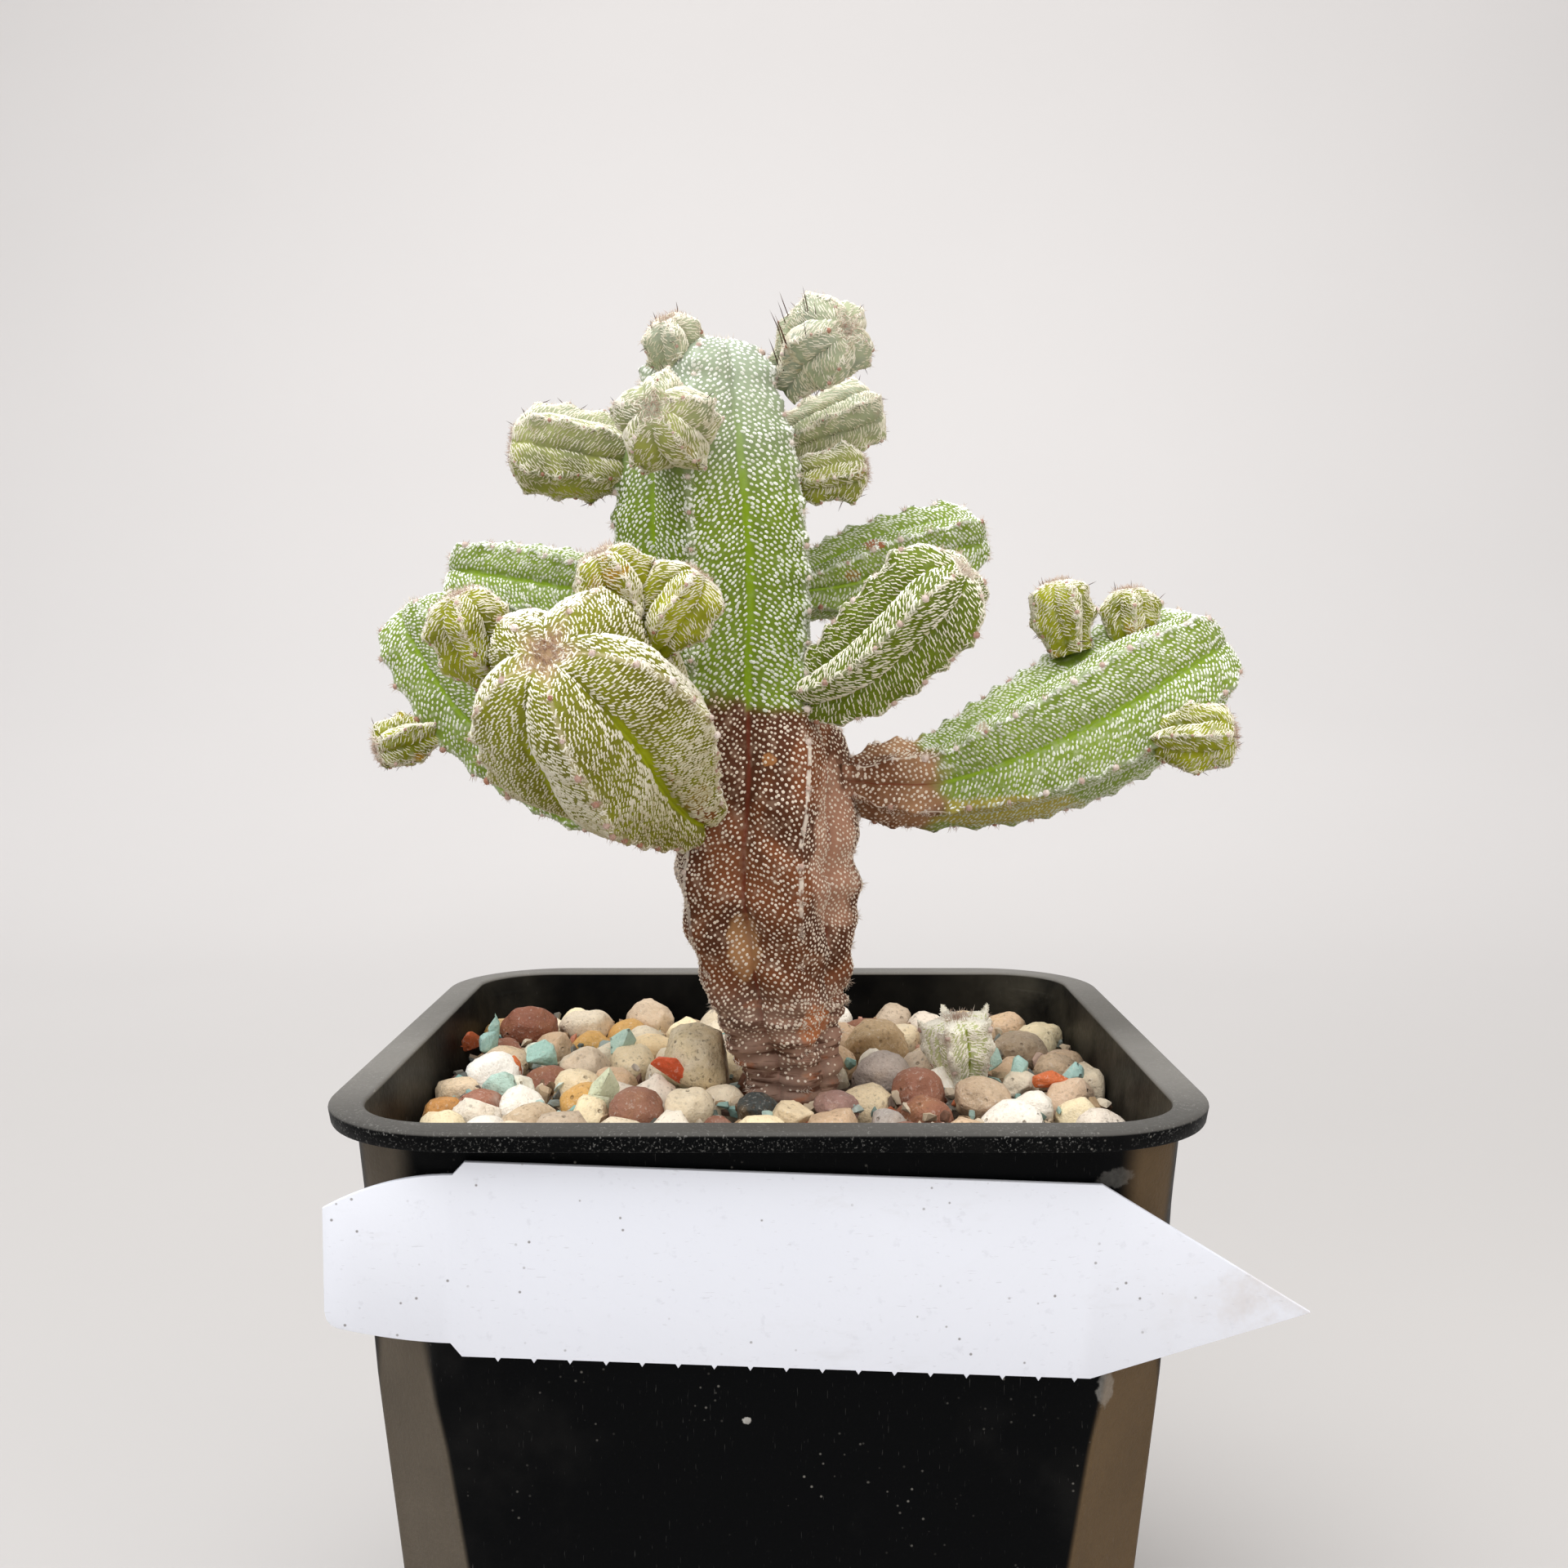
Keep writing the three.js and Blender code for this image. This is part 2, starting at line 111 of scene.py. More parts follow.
class StemSettings(bpy.types.PropertyGroup):
    """Colours of the skin and of the woolly flecks on it."""

    skin: colour_prop("Skin", "Green between the flecks on the main stem", "#70861A")
    furrow: colour_prop("Furrow", "Bare green line in each furrow", "#7E9A0C")
    cork: colour_prop("Cork", "Brown skin on the old foot", "#56301A")
    fleck: colour_prop("Fleck", "Freshest of the woolly flecks on grown stems", "#F8F9F4")
    pup_fleck: colour_prop("Pup fleck", "Freshest of the woolly flecks on the pups", "#FAF5E6")
    wool: colour_prop("Wool", "Freshest of the wool at the areoles", "#F3EBDD")
    spine: colour_prop("Spine", "Darkest of the small spines", "#2A1812")


class LabelSettings(bpy.types.PropertyGroup):
    """Size and colour of the bare plant label."""

    bevel: length_prop("Edge", "Rounding of the label's cut edges", 0.1)
    plastic: colour_prop("Plastic", "Colour of the clean label", "#DDE0EA")


class StageSettings(bpy.types.PropertyGroup):
    """Floor, lights and camera."""

    backdrop: colour_prop("Backdrop", "Colour of the wall behind", "#E6E3E2")
    # The floor is darker than the wall: painted shade that holds down the key light near the pot
    floor: colour_prop("Floor", "Colour of the floor under the pot", "#C0BDBB")
    key_power: power_prop("Key light", "Power of the large soft light", 9.0)
    fill_power: power_prop("Fill light", "Power of the front fill", 2.2)
    side_power: power_prop("Side light", "Power of the warm light from the right", 2.6)
    wall_power: power_prop("Wall light", "Power of the light on the wall", 5.8)
    sky: bpy.props.FloatProperty(
        name="Sky", description="Strength of the even light all round", default=0.52, min=0
    )
    lens: bpy.props.FloatProperty(
        name="Lens", description="Focal length of the camera", default=37.8, subtype="DISTANCE_CAMERA"
    )
    pitch: bpy.props.FloatProperty(
        name="Pitch", description="How far the camera looks down", default=math.radians(3.54), subtype="ANGLE"
    )


# Numbers that follow a rule


def smoothstep(value, low, high):
    share = np.clip((np.asarray(value, float) - low) / (high - low), 0, 1)
    return share * share * (3 - 2 * share)


# Waves that one ripple adds up
WAVES = 7


def ripple(points, size, seed):
    """Uneven value from about -1 to 1 at each point, with lumps `size` millimetres apart."""
    rng = np.random.default_rng(seed)
    points = np.asarray(points, float)
    ways = rng.normal(size=(WAVES, points.shape[-1]))
    ways /= np.linalg.norm(ways, axis=1, keepdims=True)
    ways *= rng.uniform(0.7, 1.4, (WAVES, 1)) * 2 * math.pi / size
    return np.sin(points @ ways.T + rng.uniform(0, 2 * math.pi, WAVES)).mean(-1) * 1.6


def unit(vectors):
    return vectors / np.maximum(np.linalg.norm(vectors, axis=-1, keepdims=True), 1e-9)


def drum(angle, radius, height):
    """Places on an upright drum, so that a ripple closes where the angle starts anew."""
    return np.stack(np.broadcast_arrays(np.cos(angle) * radius, np.sin(angle) * radius, height), axis=-1)


class FrameRandom:
    """The seeded draws that place the stones of the packed gravel."""

    def __init__(self, seed):
        self.state = seed

    def __call__(self):
        self.state = (self.state * 16807) % 2147483647
        return self.state / 2147483647


# Meshes


class Shell:
    """Points, faces and point values of one piece, gathered body by body with the same names of values."""

    def __init__(self):
        self.points = []
        self.faces = []
        self.values = {}
        self.count = 0

    def add(self, points, faces, **values):
        points = np.asarray(points, float)
        self.faces.extend([tuple(i + self.count for i in face) for face in faces])
        for name, given in values.items():
            self.values.setdefault(name, []).append(np.asarray(given, float))
        self.points.append(points)
        self.count += len(points)

    def piece(self, name, finish=None, sharp_angle=None):
        mesh = bpy.data.meshes.new(name)
        mesh.from_pydata((np.concatenate(self.points) * MM).tolist(), [], self.faces)
        for key, parts in self.values.items():
            write_value(mesh, key, np.concatenate(parts))
        return mesh_piece(name, mesh, finish, sharp_angle)


def write_value(mesh, name, values):
    """Keeps a number or a vector at each point of the mesh, under a name that a finish reads."""
    values = np.asarray(values, np.float32)
    kind = "FLOAT" if values.ndim == 1 else "FLOAT_VECTOR"
    attribute = mesh.attributes.new(name, kind, "POINT")
    attribute.data.foreach_set("value" if kind == "FLOAT" else "vector", values.ravel())


def mesh_piece(name, mesh, finish=None, sharp_angle=None):
    mesh.validate()
    mesh.update()
    mesh.shade_smooth()
    if sharp_angle is not None:
        mesh.set_sharp_from_angle(angle=sharp_angle)
    if finish is not None:
        mesh.materials.append(finish)
    piece = bpy.data.objects.new(name, mesh)
    bpy.context.scene.collection.objects.link(piece)
    return piece


def place_piece(piece, slot, replaced=()):
    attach(piece, BODY)
    if replaced:
        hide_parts(*replaced)


def drop(helper):
    """Takes a helper object and its mesh out of the file."""
    mesh = helper.data
    bpy.data.objects.remove(helper)
    bpy.data.meshes.remove(mesh)


def hull(points):
    """Open bmesh with the convex hull of the points."""
    made = bmesh.new()
    for point in points:
        made.verts.new(point)
    found = bmesh.ops.convex_hull(made, input=made.verts)
    spare = {v for v in found["geom_unused"] + found["geom_interior"] if isinstance(v, bmesh.types.BMVert)}
    bmesh.ops.delete(made, geom=list(spare), context="VERTS")
    return made


def points_and_faces(made):
    """What an open bmesh holds, as plain values; the bmesh is closed."""
    made.verts.ensure_lookup_table()
    made.verts.index_update()
    points = np.array([v.co[:] for v in made.verts])
    faces = [tuple(v.index for v in f.verts) for f in made.faces]
    made.free()
    return points, faces


def closed_mesh(made, name):
    """A mesh from an open bmesh, which is closed."""
    mesh = bpy.data.meshes.new(name)
    made.to_mesh(mesh)
    made.free()
    return mesh


def apply_modifiers(piece):
    """Puts the evaluated mesh in place of the piece's own and takes its modifiers off."""
    depsgraph = bpy.context.evaluated_depsgraph_get()
    done = bpy.data.meshes.new_from_object(piece.evaluated_get(depsgraph), depsgraph=depsgraph)
    done.name = piece.name
    piece.modifiers.clear()
    piece.data = done
    return piece


def ring_faces(rows, columns):
    """Faces of rings of equal count, closed at both ends on the two centre points that follow them."""
    faces = []
    start, end, last = rows * columns, rows * columns + 1, (rows - 1) * columns
    for row in range(rows - 1):
        for i in range(columns):
            j = (i + 1) % columns
            low, high = row * columns, (row + 1) * columns
            faces.append((low + i, low + j, high + j, high + i))
    for i in range(columns):
        j = (i + 1) % columns
        faces.append((start, j, i))
        faces.append((end, last + i, last + j))
    return faces


# Finishes: shader maths written as expressions


def maths_with(operation, turned=False):
    """A method that adds a maths node; turned is for the form with the wire on the right."""

    def method(self, other):
        return self.maths(operation, other, self) if turned else self.maths(operation, self, other)

    return method


class Wire:
    """One socket of a finish, so that maths on it reads as an expression."""

    def __init__(self, finish, socket):
        self.finish = finish
        self.socket = socket

    def maths(self, operation, left, right=0.0, clamp=False):
        settings = {"operation": operation, "use_clamp": clamp}
        return self.finish.node("ShaderNodeMath", settings, {0: left, 1: right})

    __add__, __radd__ = maths_with("ADD"), maths_with("ADD", turned=True)
    __sub__, __rsub__ = maths_with("SUBTRACT"), maths_with("SUBTRACT", turned=True)
    __mul__, __rmul__ = maths_with("MULTIPLY"), maths_with("MULTIPLY", turned=True)
    __truediv__, __pow__ = maths_with("DIVIDE"), maths_with("POWER")
    most, least = maths_with("MAXIMUM"), maths_with("MINIMUM")

    def __abs__(self):
        return self.maths("ABSOLUTE", self)

    def __neg__(self):
        return self.maths("MULTIPLY", self, -1.0)

    def within(self):
        return self.maths("ADD", self, 0.0, clamp=True)

    def rise(self, low, high):
        """0 below low, 1 above high, smooth between; with low above high it falls."""
        settings = {"interpolation_type": "SMOOTHSTEP"}
        if low > high:
            return 1.0 - self.rise(high, low)
        return self.finish.node("ShaderNodeMapRange", settings, {0: self, 1: low, 2: high, 3: 0.0, 4: 1.0})


class Finish:
    """A procedural material under construction."""

    def __init__(self, name):
        self.material = bpy.data.materials.new(name)
        self.material.use_nodes = True
        self.tree = self.material.node_tree
        self.shader = next(n for n in self.tree.nodes if n.type == "BSDF_PRINCIPLED")
        self.place = self.node("ShaderNodeTexCoord", {}, {}, "Object")

    def node(self, kind, settings, sockets, output=0):
        node = self.tree.nodes.new(kind)
        for name, value in settings.items():
            if name == "stops":
                self.set_stops(node.color_ramp, value)
            else:
                setattr(node, name, value)
        for key, value in sockets.items():
            self.feed(node.inputs[key], value)
        return Wire(self, node.outputs[output])

    def feed(self, socket, value):
        if isinstance(value, str):
            value = colour(value)
        if isinstance(value, Wire):
            self.tree.links.new(value.socket, socket)
        elif isinstance(value, (tuple, list)) and socket.type == "RGBA":
            socket.default_value = (*tuple(value)[:3], 1.0)
        else:
            socket.default_value = value

    @staticmethod
    def set_stops(ramp, stops):
        while len(ramp.elements) < len(stops):
            ramp.elements.new(0.5)
        for element, (position, value) in zip(ramp.elements, stops):
            element.position = position
            element.color = (*value, 1.0)

    def value(self, name):
        """The number kept at the piece's points under that name."""
        return self.node("ShaderNodeAttribute", {"attribute_name": name}, {}, "Fac")

    def tint(self, name):
        """The colour kept at the piece's points under that name."""
        return self.node("ShaderNodeAttribute", {"attribute_name": name}, {}, "Color")

    def axis(self, name):
        return self.node("ShaderNodeSeparateXYZ", {}, {0: self.place}, name)

    def stretched(self, x, y, z):
        settings = {"operation": "MULTIPLY"}
        return self.node("ShaderNodeVectorMath", settings, {0: self.place, 1: (x, y, z)})

    def noise(self, size, detail=3.0, rough=0.55, at=None, warp=0.0):
        """Cloudy noise from 0 to 1 whose lumps are `size` metres across."""
        sockets = {"Vector": at or self.place, "Scale": 1 / size, "Detail": detail, "Roughness": rough}
        sockets["Distortion"] = warp
        return self.node("ShaderNodeTexNoise", {}, sockets, 0)

    def cells(self, size):
        """Distance to the nearest of the dots that lie `size` metres apart."""
        return self.node("ShaderNodeTexVoronoi", {}, {"Vector": self.place, "Scale": 1 / size}, "Distance")

    def mix(self, share, first, second):
        """The first colour, or the second where the share is 1; a colour may be a web colour code."""
        settings = {"data_type": "RGBA", "clamp_factor": True}
        return self.node("ShaderNodeMix", settings, {0: share, 6: first, 7: second}, 2)

    def shade(self, tint, share):
        """The colour made darker or lighter by a varying share."""
        grey = self.node("ShaderNodeCombineXYZ", {}, {0: share, 1: share, 2: share})
        return self.node("ShaderNodeVectorMath", {"operation": "MULTIPLY"}, {0: tint, 1: grey})

    def spot(self, centre, reach):
        """1 inside a soft-edged egg round a place, 0 outside; reach is its half size each way."""
        away = self.node("ShaderNodeVectorMath", {"operation": "SUBTRACT"}, {0: self.place, 1: centre})
        scaled = self.node("ShaderNodeVectorMath", {"operation": "DIVIDE"}, {0: away, 1: reach})
        wavy = self.noise(min(reach) * 0.8, 3, 0.6)
        distance = self.node("ShaderNodeVectorMath", {"operation": "LENGTH"}, {0: scaled}, "Value")
        return (distance + (wavy - 0.5) * 0.9).rise(1.05, 0.75)

    def relief(self, height, depth, strength=1.0):
        return self.node("ShaderNodeBump", {}, {"Height": height, "Distance": depth, "Strength": strength})

    def done(self, base, rough, normal=None, **numbers):
        self.feed(self.shader.inputs["Base Color"], base)
        self.feed(self.shader.inputs["Roughness"], rough)
        if normal is not None:
            self.feed(self.shader.inputs["Normal"], normal)
        for name, number in numbers.items():
            self.shader.inputs[name.replace("_", " ")].default_value = number
        return self.material


# Scattering with Geometry Nodes


def scatter_tree():
    """Puts a small shape on every point, turned and sized by what the point keeps."""
    found = bpy.data.node_groups.get("scatter on points")
    if found:
        return found
    tree = bpy.data.node_groups.new("scatter on points", "GeometryNodeTree")
    inputs = {
        "Points": "Geometry",
        "Shape": "Object",
        "Length": "Float",
        "Width": "Float",
        "Height": "Float",
        "Variation": "Float",
        "Seed": "Int",
        "Finish": "Material",
    }
    for name, kind in inputs.items():
        tree.interface.new_socket(name, in_out="INPUT", socket_type="NodeSocket" + kind)
    tree.interface.new_socket("Mesh", in_out="OUTPUT", socket_type="NodeSocketGeometry")
    nodes, links = tree.nodes, tree.links

    def add(kind, **settings):
        node = nodes.new(kind)
        for name, value in settings.items():
            setattr(node, name, value)
        return node

    def kept(name, kind):
        node = add("GeometryNodeInputNamedAttribute", data_type=kind)
        node.inputs["Name"].default_value = name
        return node

    def beside_one(operation):
        node = add("ShaderNodeMath", operation=operation)
        node.inputs[0].default_value = 1.0
        return node

    def out(node, name):
        return next(s for s in node.outputs if s.name == name and s.enabled)

    def into(node, name):
        return next(s for s in node.inputs if s.name == name and s.enabled)

    given = add("NodeGroupInput")
    result = add("NodeGroupOutput")
    shape = add("GeometryNodeObjectInfo", transform_space="ORIGINAL")
    facing, heading = kept("facing", "FLOAT_VECTOR"), kept("heading", "FLOAT_VECTOR")
    size = kept("size", "FLOAT")
    stand = add("FunctionNodeAlignRotationToVector", axis="Z")
    turn = add("FunctionNodeAlignRotationToVector", axis="X", pivot_axis="Z")
    chance = add("FunctionNodeRandomValue", data_type="FLOAT")
    low, high = beside_one("SUBTRACT"), beside_one("ADD")
    grown = add("ShaderNodeMath", operation="MULTIPLY")
    sides = add("ShaderNodeCombineXYZ")
    scale = add("ShaderNodeVectorMath", operation="SCALE")
    instance = add("GeometryNodeInstanceOnPoints")
    real = add("GeometryNodeRealizeInstances")
    paint = add("GeometryNodeSetMaterial")
    links.new(given.outputs["Shape"], shape.inputs["Object"])
    links.new(out(facing, "Attribute"), stand.inputs["Vector"])
    links.new(stand.outputs["Rotation"], turn.inputs["Rotation"])
    links.new(out(heading, "Attribute"), turn.inputs["Vector"])
    links.new(given.outputs["Variation"], low.inputs[1])
    links.new(given.outputs["Variation"], high.inputs[1])
    links.new(low.outputs[0], into(chance, "Min"))
    links.new(high.outputs[0], into(chance, "Max"))
    links.new(given.outputs["Seed"], into(chance, "Seed"))
    links.new(out(chance, "Value"), grown.inputs[0])
    links.new(out(size, "Attribute"), grown.inputs[1])
    links.new(given.outputs["Length"], sides.inputs[0])
    links.new(given.outputs["Width"], sides.inputs[1])
    links.new(given.outputs["Height"], sides.inputs[2])
    links.new(sides.outputs[0], scale.inputs[0])
    links.new(grown.outputs[0], into(scale, "Scale"))
    links.new(given.outputs["Points"], instance.inputs["Points"])
    links.new(shape.outputs["Geometry"], instance.inputs["Instance"])
    links.new(turn.outputs["Rotation"], instance.inputs["Rotation"])
    links.new(scale.outputs[0], instance.inputs["Scale"])
    links.new(instance.outputs[0], real.inputs[0])
    links.new(real.outputs[0], paint.inputs["Geometry"])
    links.new(given.outputs["Finish"], paint.inputs["Material"])
    links.new(paint.outputs[0], result.inputs["Mesh"])
    return tree


def scatter(name, places, shape, finish, length, width, height, variation=0.15, seed=1):
    """A piece with one small shape on each place; places hold points, facing, heading, size and tone."""
    mesh = bpy.data.meshes.new(name)
    mesh.from_pydata((places["points"] * MM).tolist(), [], [])
    for key in ("facing", "heading", "size", "tone"):
        write_value(mesh, key, places[key])
    piece = bpy.data.objects.new(name, mesh)
    bpy.context.scene.collection.objects.link(piece)
    modifier = piece.modifiers.new("scatter", "NODES")
    modifier.node_group = scatter_tree()
    given = {
        "Shape": shape,
        "Length": length * MM,
        "Width": width * MM,
        "Height": height * MM,
        "Variation": variation,
        "Seed": seed,
        "Finish": finish,
    }
    for item in modifier.node_group.interface.items_tree:
        if item.item_type == "SOCKET" and item.in_out == "INPUT" and item.name in given:
            modifier[item.identifier] = given[item.name]
    apply_modifiers(piece)
    for key in ("facing", "heading", "size"):
        if key in piece.data.attributes:
            piece.data.attributes.remove(piece.data.attributes[key])
    piece.data.shade_smooth()
    return piece


def join_places(parts):
    keys = ("points", "facing", "heading", "size", "tone")
    return {key: np.concatenate([part[key] for part in parts]) for key in keys}


class Shapes:
    """The small shapes that are scattered. They are helpers and don't stay in the scene."""

    def __init__(self):
        self.fleck = self.helper("fleck shape", *self.fleck_mesh())
        self.stroke = self.helper("stroke shape", *self.stroke_mesh())
        self.pad = self.helper("pad shape", *self.pad_mesh())
        self.hair = self.helper("hair shape", *self.hair_mesh(1.6))
        self.spine = self.helper("spine shape", *self.hair_mesh(1.0))

    @staticmethod
    def helper(name, points, faces):
        mesh = bpy.data.meshes.new(name)
        mesh.from_pydata(points, [], faces)
        mesh.update()
        return bpy.data.objects.new(name, mesh)

    @staticmethod
    def fleck_mesh():
        """A small dome: six points round its foot and one on top."""
        foot = [(0.5 * math.cos(a), 0.5 * math.sin(a), -0.35) for a in np.radians(range(0, 360, 60))]
        return foot + [(0, 0, 1.0)], [(i, (i + 1) % 6, 6) for i in range(6)]

    @staticmethod
    def stroke_mesh():
        """A low wavy stroke, pointed at both ends."""
        points = [(-0.5, 0, -0.3)]
        for x, half in ((-0.22, 0.47), (0.24, 0.44)):
            y = 0.34 * math.sin(2 * math.pi * x)
            points += [(x, y - half, -0.4), (x, y, 1.0), (x, y + half, -0.4)]
        points.append((0.5, 0, -0.3))
        faces = [(0, 1, 2), (0, 2, 3), (1, 4, 5, 2), (2, 5, 6, 3), (4, 7, 5), (5, 7, 6)]
        return points, faces

    @staticmethod
    def pad_mesh():
        """A round cushion."""
        points = [
            (radius * math.cos(a), radius * math.sin(a), z)
            for radius, z in ((0.5, -0.4), (0.38, 0.62))
            for a in np.radians(range(0, 360, 60))
        ]
        faces = [(i, (i + 1) % 6, 6 + (i + 1) % 6, 6 + i) for i in range(6)]
        return points + [(0, 0, 1.0)], faces + [(6 + i, 6 + (i + 1) % 6, 12) for i in range(6)]

    @staticmethod
    def hair_mesh(bend):
        """A bent tapering hair with three sides, one unit long."""
        corners = np.radians((0, 120, 240))
        points = [
            (bend * z * z + radius * math.cos(a), radius * math.sin(a), z)
            for z, radius in ((0.0, 0.5), (0.55, 0.4))
            for a in corners
        ]
        faces = [(i, (i + 1) % 3, 3 + (i + 1) % 3, 3 + i) for i in range(3)]
        return points + [(bend, 0, 1.0)], faces + [(3 + i, 3 + (i + 1) % 3, 6) for i in range(3)]

    def clear(self):
        for shape in (self.fleck, self.stroke, self.pad, self.hair, self.spine):
            drop(shape)


# Stems: the frame's own stations, in millimetres (x, y, z, radius)

RIBS = 5
AREOLE_PITCH = 4.4
TOOTH = 0.22
FRONT = np.array([0.0, -1.0, 0.0])
UP = np.array([0.0, 0.0, 1.0])
STEM_AXIS = (2.2, -3.0)


def pup(*stations, crown, phase=0, **more):
    """A young offset: stubby and flat-sided, with a line of ridges turned up where it lies level."""
    way = unit(np.array(stations[-1][:3], float) - np.array(stations[0][:3], float))
    shape = {"depth": 0.09, "panel": 0.8, "flat": 4, "keel": 0.06, "sway": 0.1, "lump": 0.16}
    facing = FRONT if abs(way[2]) > 0.7 else UP
    shape.update(stations=stations, crown=crown, phase=phase, facing=facing, flecks="pup", grown=False)
    return dict(shape, **more)


def side_stem(*stations, crown, phase, depth=0.26, flecks="branch", facing=FRONT, pups=(), **more):
    shape = {"stations": stations, "crown": crown, "phase": phase, "depth": depth}
    return dict(shape, flecks=flecks, facing=facing, pups=pups, **more)


MAIN_STEM = side_stem(
    (2.2, -3, 66, 2.6),
    (2.2, -3, 78, 5),
    (2.2, -3, 86, 6.3),
    (2, -3, 90, 6.8),
    (0.8, -3, 95, 8.6),
    (0.2, -3, 100, 10.2),
    (-0.6, -3, 107, 11.3),
    (-1.1, -3, 114, 12.2),
    (-1.9, -3, 124, 12.3),
    (-3.6, -3, 132, 11.6),
    (-5.2, -3, 140, 11.9),
    (-6.4, -3, 150, 12.4),
    (-6.9, -3, 158, 12.2),
    (-7.4, -3, 167, 11),
    (-7.2, -3, 173, 8.8),
    crown=6,
    phase=-12,
    depth=0.22,
    flecks="column",
    old=True,
    pups=(
        pup(
            (1.8, -3.2, 173.2, 2.8), (5.4, -6.4, 176.6, 5.2), (7.2, -9.4, 177.3, 5.6),
            crown=4.4,
            phase=26,
            hairy=True,
        ),
        pup((-1, 0.5, 165.6, 2.4), (6.4, 5.4, 169, 4.4), (11, 8, 171.2, 4.9), crown=3.4),
        pup((0.4, -4, 160.8, 1.8), (6, -4, 162, 3.2), (9.4, -4, 162.6, 3.5), crown=2.6, phase=30),
        pup((-10.2, -6, 172.5, 1.8), (-11, -6, 176, 3.6), (-11.7, -7, 178, 4), crown=2.9),
        pup((-9.8, -11, 164.6, 2.8), (-10.8, -14.5, 165.6, 5.4), (-12, -19, 166.5, 6), crown=4.2),
        pup((-17.2, -2, 163.2, 3), (-20.5, -3, 164.2, 5.2), (-27.8, -4, 165.2, 5.8), crown=4.4, phase=16),
    ),
)

BRANCHES = {
    "stem_front_left": side_stem(
        (-7.5, -8, 119.8, 3.6),
        (-13.2, -15.5, 124.8, 8.6),
        (-18.2, -25, 131.4, 13.2),
        (-20.8, -33, 136, 11.8),
        crown=8.4,
        phase=-18,
        depth=0.2,
        flecks="star",
        facing=UP,
        flat=3,
        panel=0.6,
        keel=0.1,
        pups=(
            pup((-29.2, -27, 136.6, 2), (-31.2, -28, 140, 4.3), (-32.6, -29, 143.6, 4.8), crown=3.2),
            pup((-14.4, -27, 141, 2), (-15.8, -28, 145.2, 4.1), (-17, -29, 148, 4.5), crown=3.4, phase=20),
            pup((-13, -27, 140.4, 2), (-11.2, -28, 143.4, 4.4), (-9.4, -28, 146, 5), crown=3.4),
        ),
    ),
    "stem_left_upper": side_stem(
        (-15.4, 3.6, 147.8, 2.6), (-24.6, 10.5, 148.2, 5.8), (-32.5, 15, 149.4, 6.4), (-40.2, 18, 150.8, 5.8),
        crown=4,
        phase=44,
    ),
    "stem_left_outer": side_stem(
        (-11, 3, 122.6, 3.4),
        (-21, 6, 121.8, 5.8),
        (-31, 8, 126.8, 7),
        (-39.5, 9, 134.6, 7.8),
        (-45.2, 10, 142.8, 7.2),
        crown=5,
        phase=20,
        pups=(pup((-43, 6, 130.6, 2), (-46.6, 4, 129.2, 3.3), (-48.6, 3, 128.6, 3.5), crown=2.5, phase=10),),
    ),
    "stem_right_mid": side_stem(
        (3.4, -8.6, 135.2, 3), (6.6, -10, 136, 4.5), (11.8, -13, 139.2, 6.2), (19.4, -18, 146.6, 6.9),
        crown=5,
        phase=-8,
        depth=0.28,
        flecks="young",
    ),
    "stem_right_back": side_stem(
        (2.6, 2, 148.4, 3), (9.1, 8, 150, 5.4), (15.8, 12, 152.6, 5.9), (24.6, 15, 155.4, 5.4),
        crown=4.5,
        phase=-20,
    ),
    "stem_right_long": side_stem(
        (8, -2, 124.5, 2.8),
        (11, -1.2, 124.2, 3.3),
        (14, -0.2, 123.9, 5.1),
        (21.5, 2, 124, 6.2),
        (30.1, 4, 126.5, 8.6),
        (40, 6, 130.8, 10.2),
        (48.8, 8, 135.6, 10.3),
        (54.6, 9, 139, 8.6),
        crown=6,
        phase=-38,
        cork=(10.5, 14.5),
        pups=(
            pup((39, 6, 140.4, 2.4), (38, 6, 144.2, 4.1), (37.4, 6, 147, 4.4), crown=3, phase=15),
            pup((47.6, 7, 141.4, 2.1), (46.8, 7, 144, 3.6), (46.5, 7, 146.4, 3.8), crown=2.6),
            pup((49, 0, 129.4, 2.2), (52.2, -2, 129.6, 4), (55.4, -3, 130, 4.2), crown=2.8, phase=15),
        ),
    ),
}

FALLEN_PUP = side_stem(
    (24.9, 1.6, 85.4, 2.8), (24.5, 1.2, 88.9, 4.3), (24.0, 0.8, 92.6, 4.4),
    crown=1.2,
    phase=-22,
    depth=0.06,
    flecks="fallen",
    flat=4,
    panel=1.0,
    keel=0.2,
    horn=1.4,
    lump=0.2,
)

